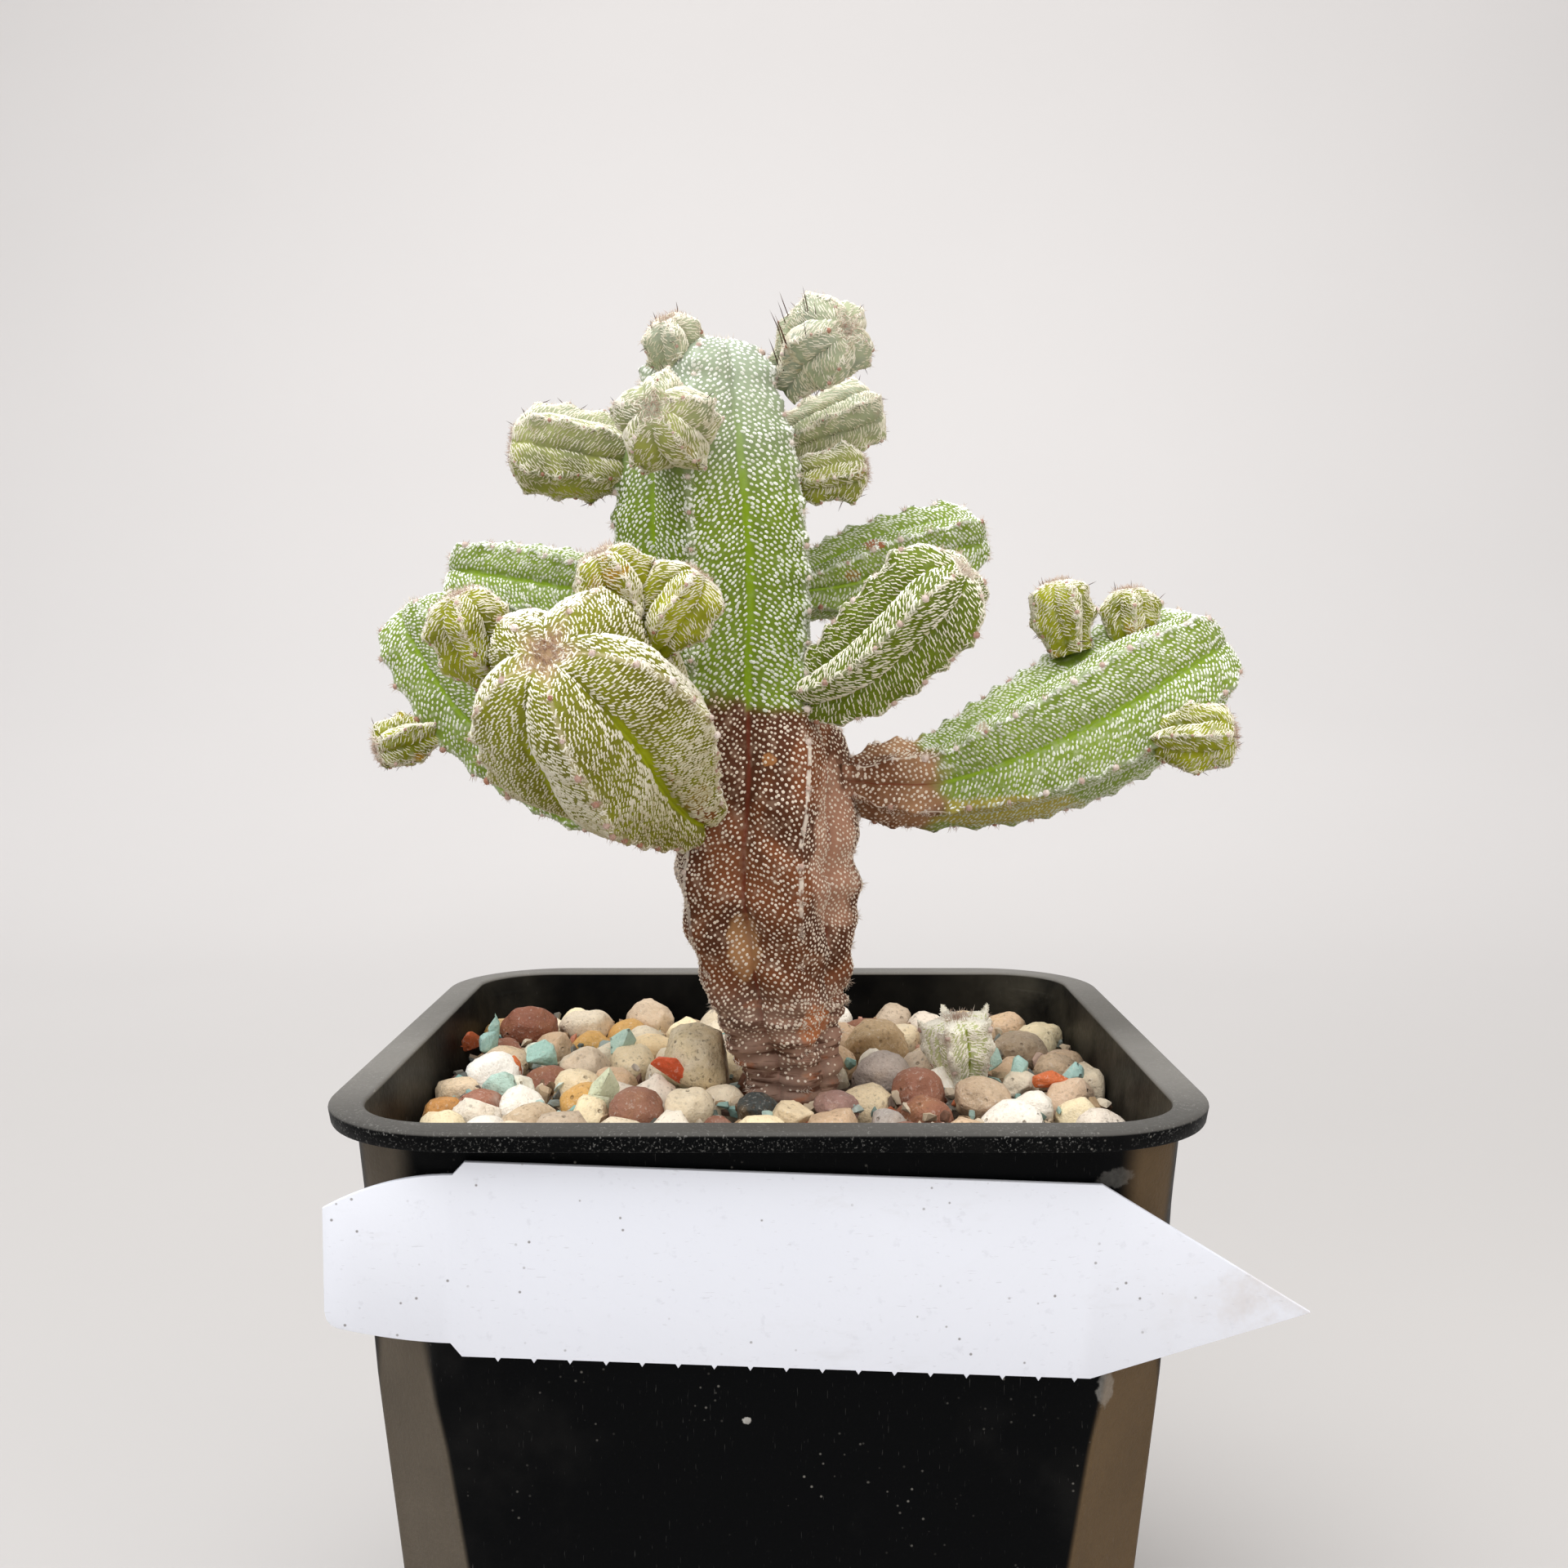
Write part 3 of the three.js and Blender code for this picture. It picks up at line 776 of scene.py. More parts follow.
# How the flecks lie on each kind of stem, in millimetres and degrees; felt is how dense, wide and
# pale the felt on the ridges is, and tip is how pale the wool of the growing point is
FLECKS = {
    "column": dict(
        across=0.69, along=0.8, length=0.72, width=0.44, height=0.17,
        bare=0.38, close=(19, 11), lean=(28, 62),
        sway=0.26, tone=0.42, top=0.32, felt=(2, 0.3, 0.8), areole=0.7, tip=0.9,
    ),
    "foot": dict(
        across=0.68, along=0.72, length=0.52, width=0.44, height=0.15, bare=0.34, close=(9, 4), lean=(34, 60),
        sway=0.26, tone=0.85, top=0.0,
    ),
    "branch": dict(
        across=0.56, along=0.7, length=0.7, width=0.36, height=0.13, bare=0.36, close=(10, 5), lean=(24, 58),
        sway=0.26, tone=0.36, top=0.34, felt=(2, 0.3, 0.8), areole=0.5, tip=0.8,
    ),
    "young": dict(
        across=0.54, along=0.92, length=1.0, width=0.22, height=0.13, bare=0.1, close=(3, 2), lean=(24, 56),
        sway=0.34, tone=0.66, top=0.3, felt=(3, 0.3, 0.85), areole=0.5, tip=0.7, wavy=True,
    ),
    "star": dict(
        across=0.54, along=0.74, length=0.74, width=0.26, height=0.14,
        bare=0.64, close=(15, 10), lean=(28, 60),
        sway=0.3, tone=0.4, top=0.5, felt=(2, 0.24, 0.75), areole=0.3, tip=0.25, wavy=True,
    ),
    "pup": dict(
        across=0.42, along=0.78, length=0.92, width=0.18, height=0.12, bare=0.12, close=(4, 2), lean=(26, 60),
        sway=0.34, tone=0.56, top=0.14, felt=(6, 0.26, 0.76), areole=0.4, tip=0.4, wavy=True,
    ),
}
FLECKS["fallen"] = {**FLECKS["pup"], "tone": 0.95, "width": 0.3, "felt": (30, 0.3, 0.9)}


def spline_rows(stations, per_span):
    """Smooth rows of numbers through the stations, clamped at both ends."""
    rows = np.array(stations, float)
    last = len(rows) - 1
    shares = np.arange(per_span + 1)[:, None] / per_span
    spans = []
    for i in range(last):
        a, b, c, d = rows[max(i - 1, 0)], rows[i], rows[i + 1], rows[min(i + 2, last)]
        bend = 2 * a - 5 * b + 4 * c - d
        twist = 3 * b - a - 3 * c + d
        span = 0.5 * (2 * b + shares * ((c - a) + shares * (bend + shares * twist)))
        spans.append(span if i == 0 else span[1:])
    return np.concatenate(spans)


def corky_foot(angle, z):
    """The old foot of the main stem swells and pinches unevenly."""
    old = 1 - smoothstep(z, 122, 134)
    above = smoothstep(z, 84, 90)
    swell = np.sin(z * 0.62 + 2.1 * np.sin(angle * 2)) * np.sin(angle * 3 + z * 0.21 + 1.2)
    return 0.5 * old * above * swell


def foot_twist(z):
    return -38 * (1 - smoothstep(z, 110, 152))


def crown_row(near_tip):
    """Row where the crown of a stem begins."""
    return int(np.flatnonzero(near_tip == 0)[-1])


class Skin:
    """Grid of points over one ribbed stem: rows along it, columns round it."""

    def __init__(self, spec, row_step, per_rib, seed):
        self.spec = spec
        self.per_rib = per_rib
        self.columns = RIBS * per_rib
        self.lay_rows(row_step)
        self.lay_points(seed)
        self.measure()

    def lay_rows(self, row_step):
        spec = self.spec
        fine = spline_rows(spec["stations"], 40)
        steps = np.linalg.norm(np.diff(fine[:, :3], axis=0), axis=1)
        travel = np.concatenate([[0], np.cumsum(steps)])
        length = travel[-1]
        ways = unit(np.gradient(fine[:, :3], travel, axis=0))
        rows = max(8, int(round(length / row_step)))
        at = np.linspace(0, length, rows + 1)
        pick = lambda column: np.interp(at, travel, column)
        centres = np.stack([pick(fine[:, k]) for k in range(3)], axis=1)
        radii = pick(fine[:, 3])
        along = unit(np.stack([pick(ways[:, k]) for k in range(3)], axis=1))
        teeth = max(2, round(length / (AREOLE_PITCH / 2)))
        self.pitch = 2 * length / teeth
        crown, tip, way = spec["crown"], centres[-1], along[-1]
        reach = math.hypot(radii[-1], crown) * 1.1
        crown_rows = max(7, int(round(reach / row_step)))
        share = np.arange(1, crown_rows + 1) / (crown_rows + 0.6)
        angle = share * (math.pi / 2) * 0.97
        rise = crown * (np.sin(angle) - 0.14 * smoothstep(share, 0.7, 1))
        self.centres = np.concatenate([centres, tip + rise[:, None] * way])
        self.radii = np.concatenate([radii, radii[-1] * np.cos(angle)])
        self.along = np.concatenate([along, np.repeat(way[None], crown_rows, axis=0)])
        self.near_tip = np.concatenate([np.zeros(rows + 1), share])
        self.stem_travel = np.concatenate([at, length + np.cumsum(np.full(crown_rows, reach / crown_rows))])
        self.start = centres[0]
        self.end = tip + way * crown * 0.85

    def lay_points(self, seed):
        spec = self.spec
        column = np.arange(self.columns)
        local = column / self.columns * 2 * math.pi
        sector = 2 * math.pi / RIBS
        turn = np.mod(local, sector)
        to_ridge = np.minimum(turn, sector - turn) / (sector / 2)
        self.to_ridge = to_ridge
        toward = np.array(spec["facing"], float)
        up = unit(toward - (self.along @ toward)[:, None] * self.along)
        side = np.cross(self.along, up)
        z = self.centres[:, 2]
        turned = foot_twist(z) if spec.get("old") else np.zeros(len(z))
        angle = local[None, :] + np.radians(spec["phase"] + turned)[:, None]
        wave = spec.get("sway", 0.0)
        if wave:
            angle = angle + wave * ripple(drum(local, 5, self.stem_travel[:, None]), 9, seed + 4)
        depth = spec["depth"] * (1 + 0.4 * self.near_tip)[:, None]
        share = 1 - depth * to_ridge[None, :] ** spec.get("flat", 1.12)
        if "panel" in spec:
            straight = math.cos(sector / 2) / np.cos(sector / 2 * (1 - to_ridge))
            share = share - spec["panel"] * (1 - straight)[None, :]
        share = share * (1 + wave * 0.4 * np.sin(local + seed) + wave * 0.35 * np.sin(2 * local + 2.3 * seed))
        ridge = (1 - to_ridge)[None, :]
        sides = self.radii[:, None]
        arc = sides * sector / 2
        body = 1 - 0.8 * self.near_tip[:, None]
        tooth = TOOTH * ridge**4 * np.cos(2 * math.pi * self.stem_travel / self.pitch)[:, None] * body
        keel = spec.get("keel", 0.24) * np.exp(-((to_ridge[None, :] * arc / 0.5) ** 2)) * body
        grown = np.ones(len(z))[:, None]
        if spec.get("old"):
            keel = keel * smoothstep(z, 100, 112)[:, None]
            grown = smoothstep(z, 122, 132)[:, None]
        nub_phase = (self.stem_travel / self.pitch + 0.5) % 1 - 0.5
        nub = 0.3 * np.exp(-((nub_phase * self.pitch / 0.6) ** 2))[:, None]
        nub = nub * np.exp(-((to_ridge[None, :] * arc / 0.8) ** 2)) * body * grown
        crease = -0.3 * np.exp(-(((1 - to_ridge[None, :]) * arc / 0.45) ** 2)) * body
        radius = sides * share + tooth * grown + keel + nub + crease
        if "cork" in spec:
            neck = 1 - smoothstep(self.stem_travel, spec["cork"][0] - 3, spec["cork"][1] + 1)[:, None]
            ring = drum(angle, 5, self.stem_travel[:, None])
            radius = radius + neck * (0.4 * ripple(ring, 4.5, seed + 11) + 0.2 * ripple(ring, 1.8, seed + 12))
        if spec.get("old"):
            radius = radius + corky_foot(angle, z[:, None])
            radius = radius + self.foot_detail(angle, z[:, None])
        rough = self.centres[:, None, :] + radius[..., None] * (
            np.cos(angle)[..., None] * up[:, None, :] + np.sin(angle)[..., None] * side[:, None, :]
        )
        away = unit(rough - self.centres[:, None, :])
        lumps = 0.1 * ripple(rough, 5.5, seed) + 0.06 * ripple(rough, 2.1, seed + 1)
        lumps = lumps + spec.get("lump", 0.0) * ripple(rough, 3.2, seed + 2)
        self.points = rough + away * lumps[..., None]
        if "horn" in spec:
            top = np.exp(-(((self.stem_travel - self.stem_travel[crown_row(self.near_tip)]) / 0.9) ** 2))
            reach = spec["horn"] * top[:, None] * ridge**5
            self.points = self.points + reach[..., None] * (self.along[:, None, :] + 0.5 * away)
        self.cork = self.cork_share(seed)

    def foot_detail(self, angle, z):
        """Rings and knobbles low on the old foot."""
        low = 1 - smoothstep(z, 94, 101)
        wander = 1.3 * np.sin(angle * 2 + 0.7) + 1.4 * ripple(drum(angle, 7, z), 9, 34)
        rings = 0.34 * low * np.sin(z * 2 * math.pi / 2.3 + wander)
        mid = smoothstep(z, 93, 97) * (1 - smoothstep(z, 112, 124))
        where = drum(angle, 9, z)
        knobs = 0.36 * mid * ripple(where, 6.4, 31) + 0.14 * mid * ripple(where, 2.8, 32)
        right = smoothstep(np.sin(angle), 0.35, 0.95)
        knobs = knobs + 0.3 * mid * right * np.sin(z * 2 * math.pi / 6.1 + 0.6 + ripple(where, 12, 33) * 1.6)
        return rings + knobs

    def cork_share(self, seed):
        """1 where the skin is brown and corky, 0 where it is green."""
        spec = self.spec
        edge = 1.3 * ripple(self.points, 3.4, seed + 5) + 0.8 * ripple(self.points, 9, seed + 6)
        if spec.get("old"):
            height = self.points[..., 2] + edge - 1.2 * (1 - self.to_ridge[None, :])
            return 1 - smoothstep(height, 132.0, 134.4)
        if "cork" in spec:
            start, end = spec["cork"]
            return 1 - smoothstep(self.stem_travel[:, None] + edge, start, end)
        return np.zeros(self.points.shape[:2])

    def measure(self):
        ridge_line = self.points[:, 0, :]
        steps = np.linalg.norm(np.diff(ridge_line, axis=0), axis=1)
        middle = self.points[:, self.per_rib // 4, :]
        middle_steps = np.linalg.norm(np.diff(middle, axis=0), axis=1)
        self.travel = np.concatenate([[0], np.cumsum(0.5 * (steps + middle_steps))])
        half = self.per_rib // 2
        flanks = []
        for rib in range(RIBS):
            strip = self.points[:, rib * self.per_rib : rib * self.per_rib + half + 1, :]
            strip = strip if strip.shape[1] == half + 1 else self.points[:, -half - 1 :, :]
            flanks.append(np.linalg.norm(np.diff(strip, axis=1), axis=2).sum(1))
        self.flank = np.mean(flanks, axis=0)

    def at(self, row, column):
        """Places on the skin between the points of its grid; rows end, columns go round."""
        grid = self.points
        row = np.clip(row, 0, len(grid) - 1.001)
        column = np.mod(column, self.columns)
        r, c = np.floor(row).astype(int), np.floor(column).astype(int) % self.columns
        u, v = (row - r)[:, None], (column - np.floor(column))[:, None]
        d = (c + 1) % self.columns
        low = grid[r, c] * (1 - v) + grid[r, d] * v
        high = grid[r + 1, c] * (1 - v) + grid[r + 1, d] * v
        return low * (1 - u) + high * u

    def facing_at(self, row, column):
        row = np.clip(row, 0.5, len(self.points) - 1.6)
        lengthways = self.at(row + 0.5, column) - self.at(row - 0.5, column)
        sideways = self.at(row, column + 0.5) - self.at(row, column - 0.5)
        return unit(np.cross(sideways, lengthways))

    def row_of(self, travel):
        return np.interp(travel, self.travel, np.arange(len(self.travel)))

    def add_to(self, shell):
        rows = len(self.points)
        points = np.concatenate([self.points.reshape(-1, 3), self.start[None], self.end[None]])
        rib = np.repeat(self.to_ridge[None, :], rows, axis=0).ravel()
        tip = np.repeat(self.near_tip[:, None], self.columns, axis=1).ravel()
        young = 0.0 if self.spec.get("grown", True) else 1.0
        far, near = FLECKS[self.spec["flecks"]]["close"]
        opened = np.repeat(smoothstep(self.travel[-1] - self.travel, near, far), self.columns)
        shell.add(
            points,
            ring_faces(rows, self.columns),
            rib=np.concatenate([rib, [0.5, 0.5]]),
            tip=np.concatenate([tip, [0, 1]]),
            cork=np.concatenate([self.cork.ravel(), [0, 0]]),
            open=np.concatenate([opened, [0, 0]]),
            pup=np.full(len(points), young),
        )


# How much paler the flecks are on the upper side than level ones: partly fresher wool, partly painted light
# from above
WEATHER_AND_TOP_LIGHT = 0.2


def chain_flecks(skin, pattern, seed):
    """Flecks in chains that leave each furrow outwards and down, and steepen towards the ridges."""
    rng = np.random.default_rng(seed)
    reach = skin.flank.max() * 1.1
    across = np.linspace(0, reach, 300)
    low, high = pattern["lean"]
    lean = np.radians(low + (high - low) * np.clip(across / reach, 0, 1) ** 1.1)
    fall = np.concatenate([[0], np.cumsum(np.tan(lean[1:]) * np.diff(across))])
    run = np.concatenate([[0], np.cumsum(np.diff(across) / np.cos(lean[1:]))])
    close = np.cos(lean) / math.cos(math.radians(low))
    ends = [np.interp(-limit, -close, across) if close[-1] < limit else reach * 2 for limit in (0.54, 0.3)]
    ends.append(reach * 2)
    gap = pattern["across"] / math.cos(math.radians(low))
    rows, columns, row_ways, column_ways = [], [], [], []
    length = skin.travel[-1]
    half = skin.per_rib / 2
    for rib in range(RIBS):
        for hand in (-1, 1):
            shift = rng.uniform(0, gap)
            for k, begin in enumerate(np.arange(shift, length + fall[-1], gap)):
                level = 0 if k % 2 else (1 if k % 4 else 2)
                marks = np.arange(rng.uniform(0, pattern["along"]), run[-1], pattern["along"])
                marks = marks + rng.normal(0, 0.07 * pattern["along"], len(marks))
                out = np.interp(marks, run, across)
                down = begin - np.interp(out, across, fall) + rng.normal(0, 0.03, len(out))
                where = np.stack([down + 100 * rib + 37 * hand, out * 2], axis=-1)
                down = down + pattern["sway"] * ripple(where, 4.2, seed + 3)
                out = out + pattern["sway"] * ripple(where, 3.6, seed + 4)
                width = np.interp(down, skin.travel, skin.flank)
                bare = pattern["bare"] * (1 + 0.45 * ripple(where, 7, seed + 7))
                far, near = pattern["close"]
                bare = bare * (1 - 0.9 * smoothstep(down, length - far, length - near))
                good = (down > 0.1) & (down < length - 0.5) & (out > bare) & (out < width - 0.05)
                good &= out < ends[level]
                if not good.any():
                    continue
                out, down, width = out[good], down[good], width[good]
                tilt = np.interp(out, across, lean)
                rows.append(skin.row_of(down))
                columns.append(rib * skin.per_rib + hand * half * (1 - out / width))
                row_ways.append(-np.sin(tilt))
                column_ways.append(-hand * half / width * np.cos(tilt))
    row, column = np.concatenate(rows), np.concatenate(columns)
    row_way, column_way = np.concatenate(row_ways), np.concatenate(column_ways)
    points = skin.at(row, column)
    per_row = np.interp(row, np.arange(len(skin.travel) - 1), np.diff(skin.travel))
    step = 0.4
    ahead = skin.at(row + row_way * step / np.maximum(per_row, 0.05), column + column_way * step)
    heading = unit(ahead - points + 1e-6)
    facing = skin.facing_at(row, column)
    count = len(points)
    sway = rng.normal(0, 0.12, count)[:, None]
    heading = unit(heading + sway * np.cross(facing, heading))
    size = rng.uniform(0.82, 1.18, count) * (1 + 0.08 * ripple(points, 6, seed + 9))
    share = np.interp(row, np.arange(len(skin.travel)), skin.travel) / length
    # Paler where the fleck faces up: partly fresher wool, partly painted light from above
    tone = pattern["tone"] + pattern["top"] * smoothstep(share, 0.35, 1) + WEATHER_AND_TOP_LIGHT * facing[:, 2]
    tone = np.clip(tone + rng.normal(0, 0.12, count) + 0.08 * ripple(points, 8, seed + 8), 0, 1)
    return {"points": points, "facing": facing, "heading": heading, "size": size, "tone": tone}


def ridge_felt(skin, per_mm, spread, seed, tone=0.6):
    """Short flecks that lie every way along the ridges, as felt does."""
    rng = np.random.default_rng(seed)
    count = int(skin.travel[-1] * per_mm) * RIBS
    rib = np.repeat(np.arange(RIBS), count // RIBS)
    down = rng.uniform(0.2, skin.travel[-1] - 0.3, len(rib))
    row = skin.row_of(down)
    width = np.interp(down, skin.travel, skin.flank)
    aside = np.clip(rng.normal(0, spread, len(rib)), -0.7 * width, 0.7 * width)
    column = rib * skin.per_rib + aside / np.maximum(width, 0.4) * skin.per_rib / 2
    points = skin.at(row, column)
    facing = skin.facing_at(row, column)
    heading = unit(np.cross(facing, rng.normal(size=facing.shape)))
    size = rng.uniform(0.6, 1.2, len(rib))
    # Paler where the felt faces up: partly fresher wool, partly painted light from above
    tones = np.clip(tone + WEATHER_AND_TOP_LIGHT * facing[:, 2] + rng.normal(0, 0.16, len(rib)), 0, 1)
    return {"points": points, "facing": facing, "heading": heading, "size": size, "tone": tones}


def areole_rows(skin, pitch):
    """Rows and columns of the areoles on every ridge."""
    count = int(skin.travel[-1] / pitch)
    rows = skin.row_of((np.arange(count) + 0.5) * pitch)
    return [(row, rib * skin.per_rib) for rib in range(RIBS) for row in rows]


def areole_pads(skin, pitch, tone, size, seed):
    """A cushion at every areole."""
    rng = np.random.default_rng(seed)
    row, column = (np.array(v, float) for v in zip(*areole_rows(skin, pitch)))
    facing = skin.facing_at(row, column)
    count = len(row)
    # Paler where the cushion faces up: partly fresher wool, partly painted light from above
    tones = np.clip(tone + WEATHER_AND_TOP_LIGHT * facing[:, 2] + rng.normal(0, 0.25, count), 0, 1)
    heading = unit(np.cross(facing, rng.normal(size=facing.shape)))
    sizes = size * rng.uniform(0.5, 1.1, count)
    points = skin.at(row, column)
    return {"points": points, "facing": facing, "heading": heading, "size": sizes, "tone": tones}


def tuft_hairs(skin, places, count, spread, lean, length, tone, seed, lift=0.0):
    """Hairs in small tufts at the given rows and columns; lift turns them upwards."""
    rng = np.random.default_rng(seed)
    row = np.repeat([p[0] for p in places], count)
    column = np.repeat([float(p[1]) for p in places], count)
    per_row = np.interp(row, np.arange(len(skin.travel) - 1), np.diff(skin.travel))
    row = row + rng.normal(0, spread, len(row)) / np.maximum(per_row, 0.05)
    width = np.interp(row, np.arange(len(skin.flank)), skin.flank)
    column = column + rng.normal(0, spread, len(row)) * (skin.per_rib / 2) / np.maximum(width, 0.5)
    points = skin.at(row, column)
    facing = skin.facing_at(row, column)
    facing = unit(facing + lift * UP + lean * rng.normal(size=facing.shape))
    heading = unit(np.cross(facing, rng.normal(size=facing.shape)))
    size = rng.uniform(*length, len(row))
    tones = np.clip(tone + rng.normal(0, 0.18, len(row)), 0, 1)
    return {"points": points, "facing": facing, "heading": heading, "size": size, "tone": tones}


# Finishes of the plant


# Tints of each kind of skin: between the flecks, in shade, in the furrow, on the ridge, at the tip
SKINS = {
    "column": dict(
        shade="#566A12", ridge="#A9B08F", dust=0.1, crown=0.6, tip="#BFC6B8", cork="#512C18", brown="#7B482B",
    ),
    "branch": dict(
        base="#7A8F30", shade="#667A26", furrow="#8CAA26", ridge="#BCC4AC",
        dust=0.36, crown=0.0, tip="#C4C9B8",
        cork="#6A4028", brown="#A67E5C",
    ),
    "young": dict(
        base="#66760E", shade="#4E5A08", furrow="#708014", ridge="#BDBBA0",
        dust=0.08, crown=0.0, tip="#C8BFA8",
    ),
    "star": dict(
        base="#7C7E10", shade="#5C560A", furrow="#A6AE08", ridge="#C9BC98",
        dust=0.08, crown=0.0, tip="#C49A86",
    ),
    "fallen": dict(
        base="#CCD09C", shade="#A8B070", furrow="#98A43C", ridge="#F0EAD2",
        dust=0.4, crown=0.0, tip="#C8B090",
    ),
}

# Marks on the stems: kind of skin, place, reach, tint and strength
MARKS = [
    ("star", (-0.0107, -0.025, 0.1267), (0.0009, 0.006, 0.0012), "#8A3B1E", 0.9),
    ("star", (-0.0074, -0.018, 0.1211), (0.0016, 0.006, 0.0014), "#7A3A22", 0.8),
    ("star", (-0.0085, -0.02, 0.1245), (0.002, 0.006, 0.003), "#9A6A34", 0.4),
    ("branch", (0.0132, 0.003, 0.1546), (0.0016, 0.006, 0.0011), "#A4553A", 0.85),
    ("branch", (0.0105, 0.003, 0.1503), (0.0012, 0.006, 0.0009), "#9A5A34", 0.6),
    # Yellow-olive patch under the long right stem: partly its own colour, partly painted light lifting the
    # shaded underside
    ("branch", (0.031, 0.0, 0.1202), (0.013, 0.014, 0.0024), "#A5923C", 0.75),
    ("branch", (0.0265, -0.004, 0.1312), (0.0011, 0.006, 0.0011), "#B9A493", 0.8),
]


def living_skin(finish, tints, rib, tip, pup, opened):
    """Green skin: a bright furrow, pale ridges, and a yellower green with amber stains on the pups."""
    cloud = finish.noise(0.006, 3)
    fine = finish.noise(0.0009, 3, 0.6)
    height = finish.axis("Z")
    green = finish.mix(cloud.rise(0.35, 0.7) * 0.6, tints["base"], tints["shade"])
    open_furrow = rib.rise(0.86, 0.97) * opened
    green = finish.mix(open_furrow, green, tints["furrow"])
    fresh = finish.mix(cloud.rise(0.3, 0.7), "#6A6C08", "#9C9E12")
    amber = finish.noise(0.0052, 3, 0.5, warp=0.5).rise(0.58, 0.74)
    fresh = finish.mix(amber * 0.75, fresh, "#A5701C")
    green = finish.mix(pup * 0.95, green, fresh)
    pale = rib.rise(0.11, 0.0) * (0.3 + 0.4 * fine)
    green = finish.mix(pale, green, tints["ridge"])
    green = finish.mix(fine.rise(0.45, 0.75) * tints["dust"], green, "#C6C9B2")
    if tints["crown"]:
        green = finish.mix(height.rise(0.156, 0.177) * tints["crown"], green, "#B2BAB2")
    return finish.mix(tip.rise(0.72, 1.0) * 0.6, green, tints["tip"]), fine


def corky_skin(finish, tints, rib):
    """Brown skin of the old foot, with its rings, scars and stains; the dark lines between the rings are
    partly dark cork, partly painted shade in the crevices, and the pale line on the ridges is a painted
    highlight.
    """
    height = finish.axis("Z")
    patchy = finish.noise(0.0028, 3, 0.6)
    red = finish.noise(0.011, 2, 0.5, warp=0.6)
    brown = finish.mix(red.rise(0.4, 0.62), tints["cork"], tints["brown"])
    brown = finish.mix(rib.rise(0.93, 1.0) * 0.75, brown, "#74301C")
    low = height.rise(0.101, 0.094)
    brown = finish.mix(low * (0.15 + 0.7 * patchy), brown, "#B89A8A")
    # Dark lines between the rings: partly dark cork, partly painted shade in the crevices
    rings = finish.noise(0.0026, 3, 0.6, at=finish.stretched(0.4, 0.4, 3.0)).rise(0.52, 0.4)
    brown = finish.mix(low * rings * 0.85, brown, "#4A2A1C")
    rust = finish.noise(0.0034, 3, 0.6, at=finish.stretched(0.6, 0.6, 2.0)).rise(0.56, 0.68)
    brown = finish.mix(low * rust * 0.6, brown, "#A86038")
    marks = [
        ((-0.0032, -0.0155, 0.1045), (0.0024, 0.008, 0.0055), "#B88A5C", 0.75),
        ((0.0062, -0.0105, 0.0945), (0.003, 0.006, 0.003), "#C87844", 0.75),
        ((-0.0002, -0.0155, 0.1275), (0.0011, 0.006, 0.0009), "#B57B48", 0.9),
        ((0.0085, -0.009, 0.1165), (0.0042, 0.009, 0.0125), "#C8987E", 0.7),
        ((-0.0112, 0.0, 0.105), (0.0026, 0.007, 0.012), "#BDB2A8", 0.85),
        ((0.0072, -0.0118, 0.1225), (0.0006, 0.005, 0.0065), "#7A2E1A", 1.2),
    ]
    for centre, reach, tint, strength in marks:
        share = finish.spot(centre, reach) * (0.5 + 0.7 * patchy) * strength
        brown = finish.mix(share.within(), brown, tint)
    # Painted highlight: a pale, broken line along the ridges of the old foot
    broken = finish.noise(0.0015, 2).rise(0.4, 0.52)
    edge = rib.rise(0.05, 0.02) * height.rise(0.104, 0.112) * height.rise(0.1315, 0.1285) * broken
    brown = finish.mix(edge * 0.9, brown, "#E0D4C6")
    return finish.mix(finish.noise(0.0016, 3).rise(0.5, 0.72) * 0.4, brown, "#AC8E78")


def skin_finish(kind, settings):
    """Living skin that turns to brown cork where the stem is old."""
    finish = Finish(kind + " skin")
    tints = {"base": tuple(settings.skin), "furrow": tuple(settings.furrow), "cork": tuple(settings.cork)}
    tints.update(SKINS[kind])
    rib, cork, tip, pup, opened = (finish.value(v) for v in ("rib", "cork", "tip", "pup", "open"))
    green, fine = living_skin(finish, tints, rib, tip, pup, opened)
    for owner, centre, reach, tint, strength in MARKS:
        if owner == kind:
            green = finish.mix(finish.spot(centre, reach) * strength, green, tint)
    has_cork = kind in ("column", "branch")
    base_colour = finish.mix(cork, green, corky_skin(finish, tints, rib)) if has_cork else green
    grain = finish.noise(0.0005, 3, 0.6)
    rough = 0.5 + 0.3 * grain + cork * 0.15
    normal = finish.relief(fine * 0.6 + grain * 0.4, 0.00016, 0.8)
    return finish.done(base_colour, rough.within(), normal, Specular_IOR_Level=0.22)


def fleck_finish(name, dull, bright):
    """Woolly flecks: each has its own tone, mottled by fine noise."""
    finish = Finish(name)
    tone = finish.value("tone")
    fibre = finish.noise(0.00022, 2, 0.6)
    tint = finish.mix((tone + 0.5 * (fibre - 0.5)).within(), dull, bright)
    normal = finish.relief(fibre, 0.00006, 0.7)
    return finish.done(tint, 0.75 + 0.2 * fibre, normal, Specular_IOR_Level=0.2)


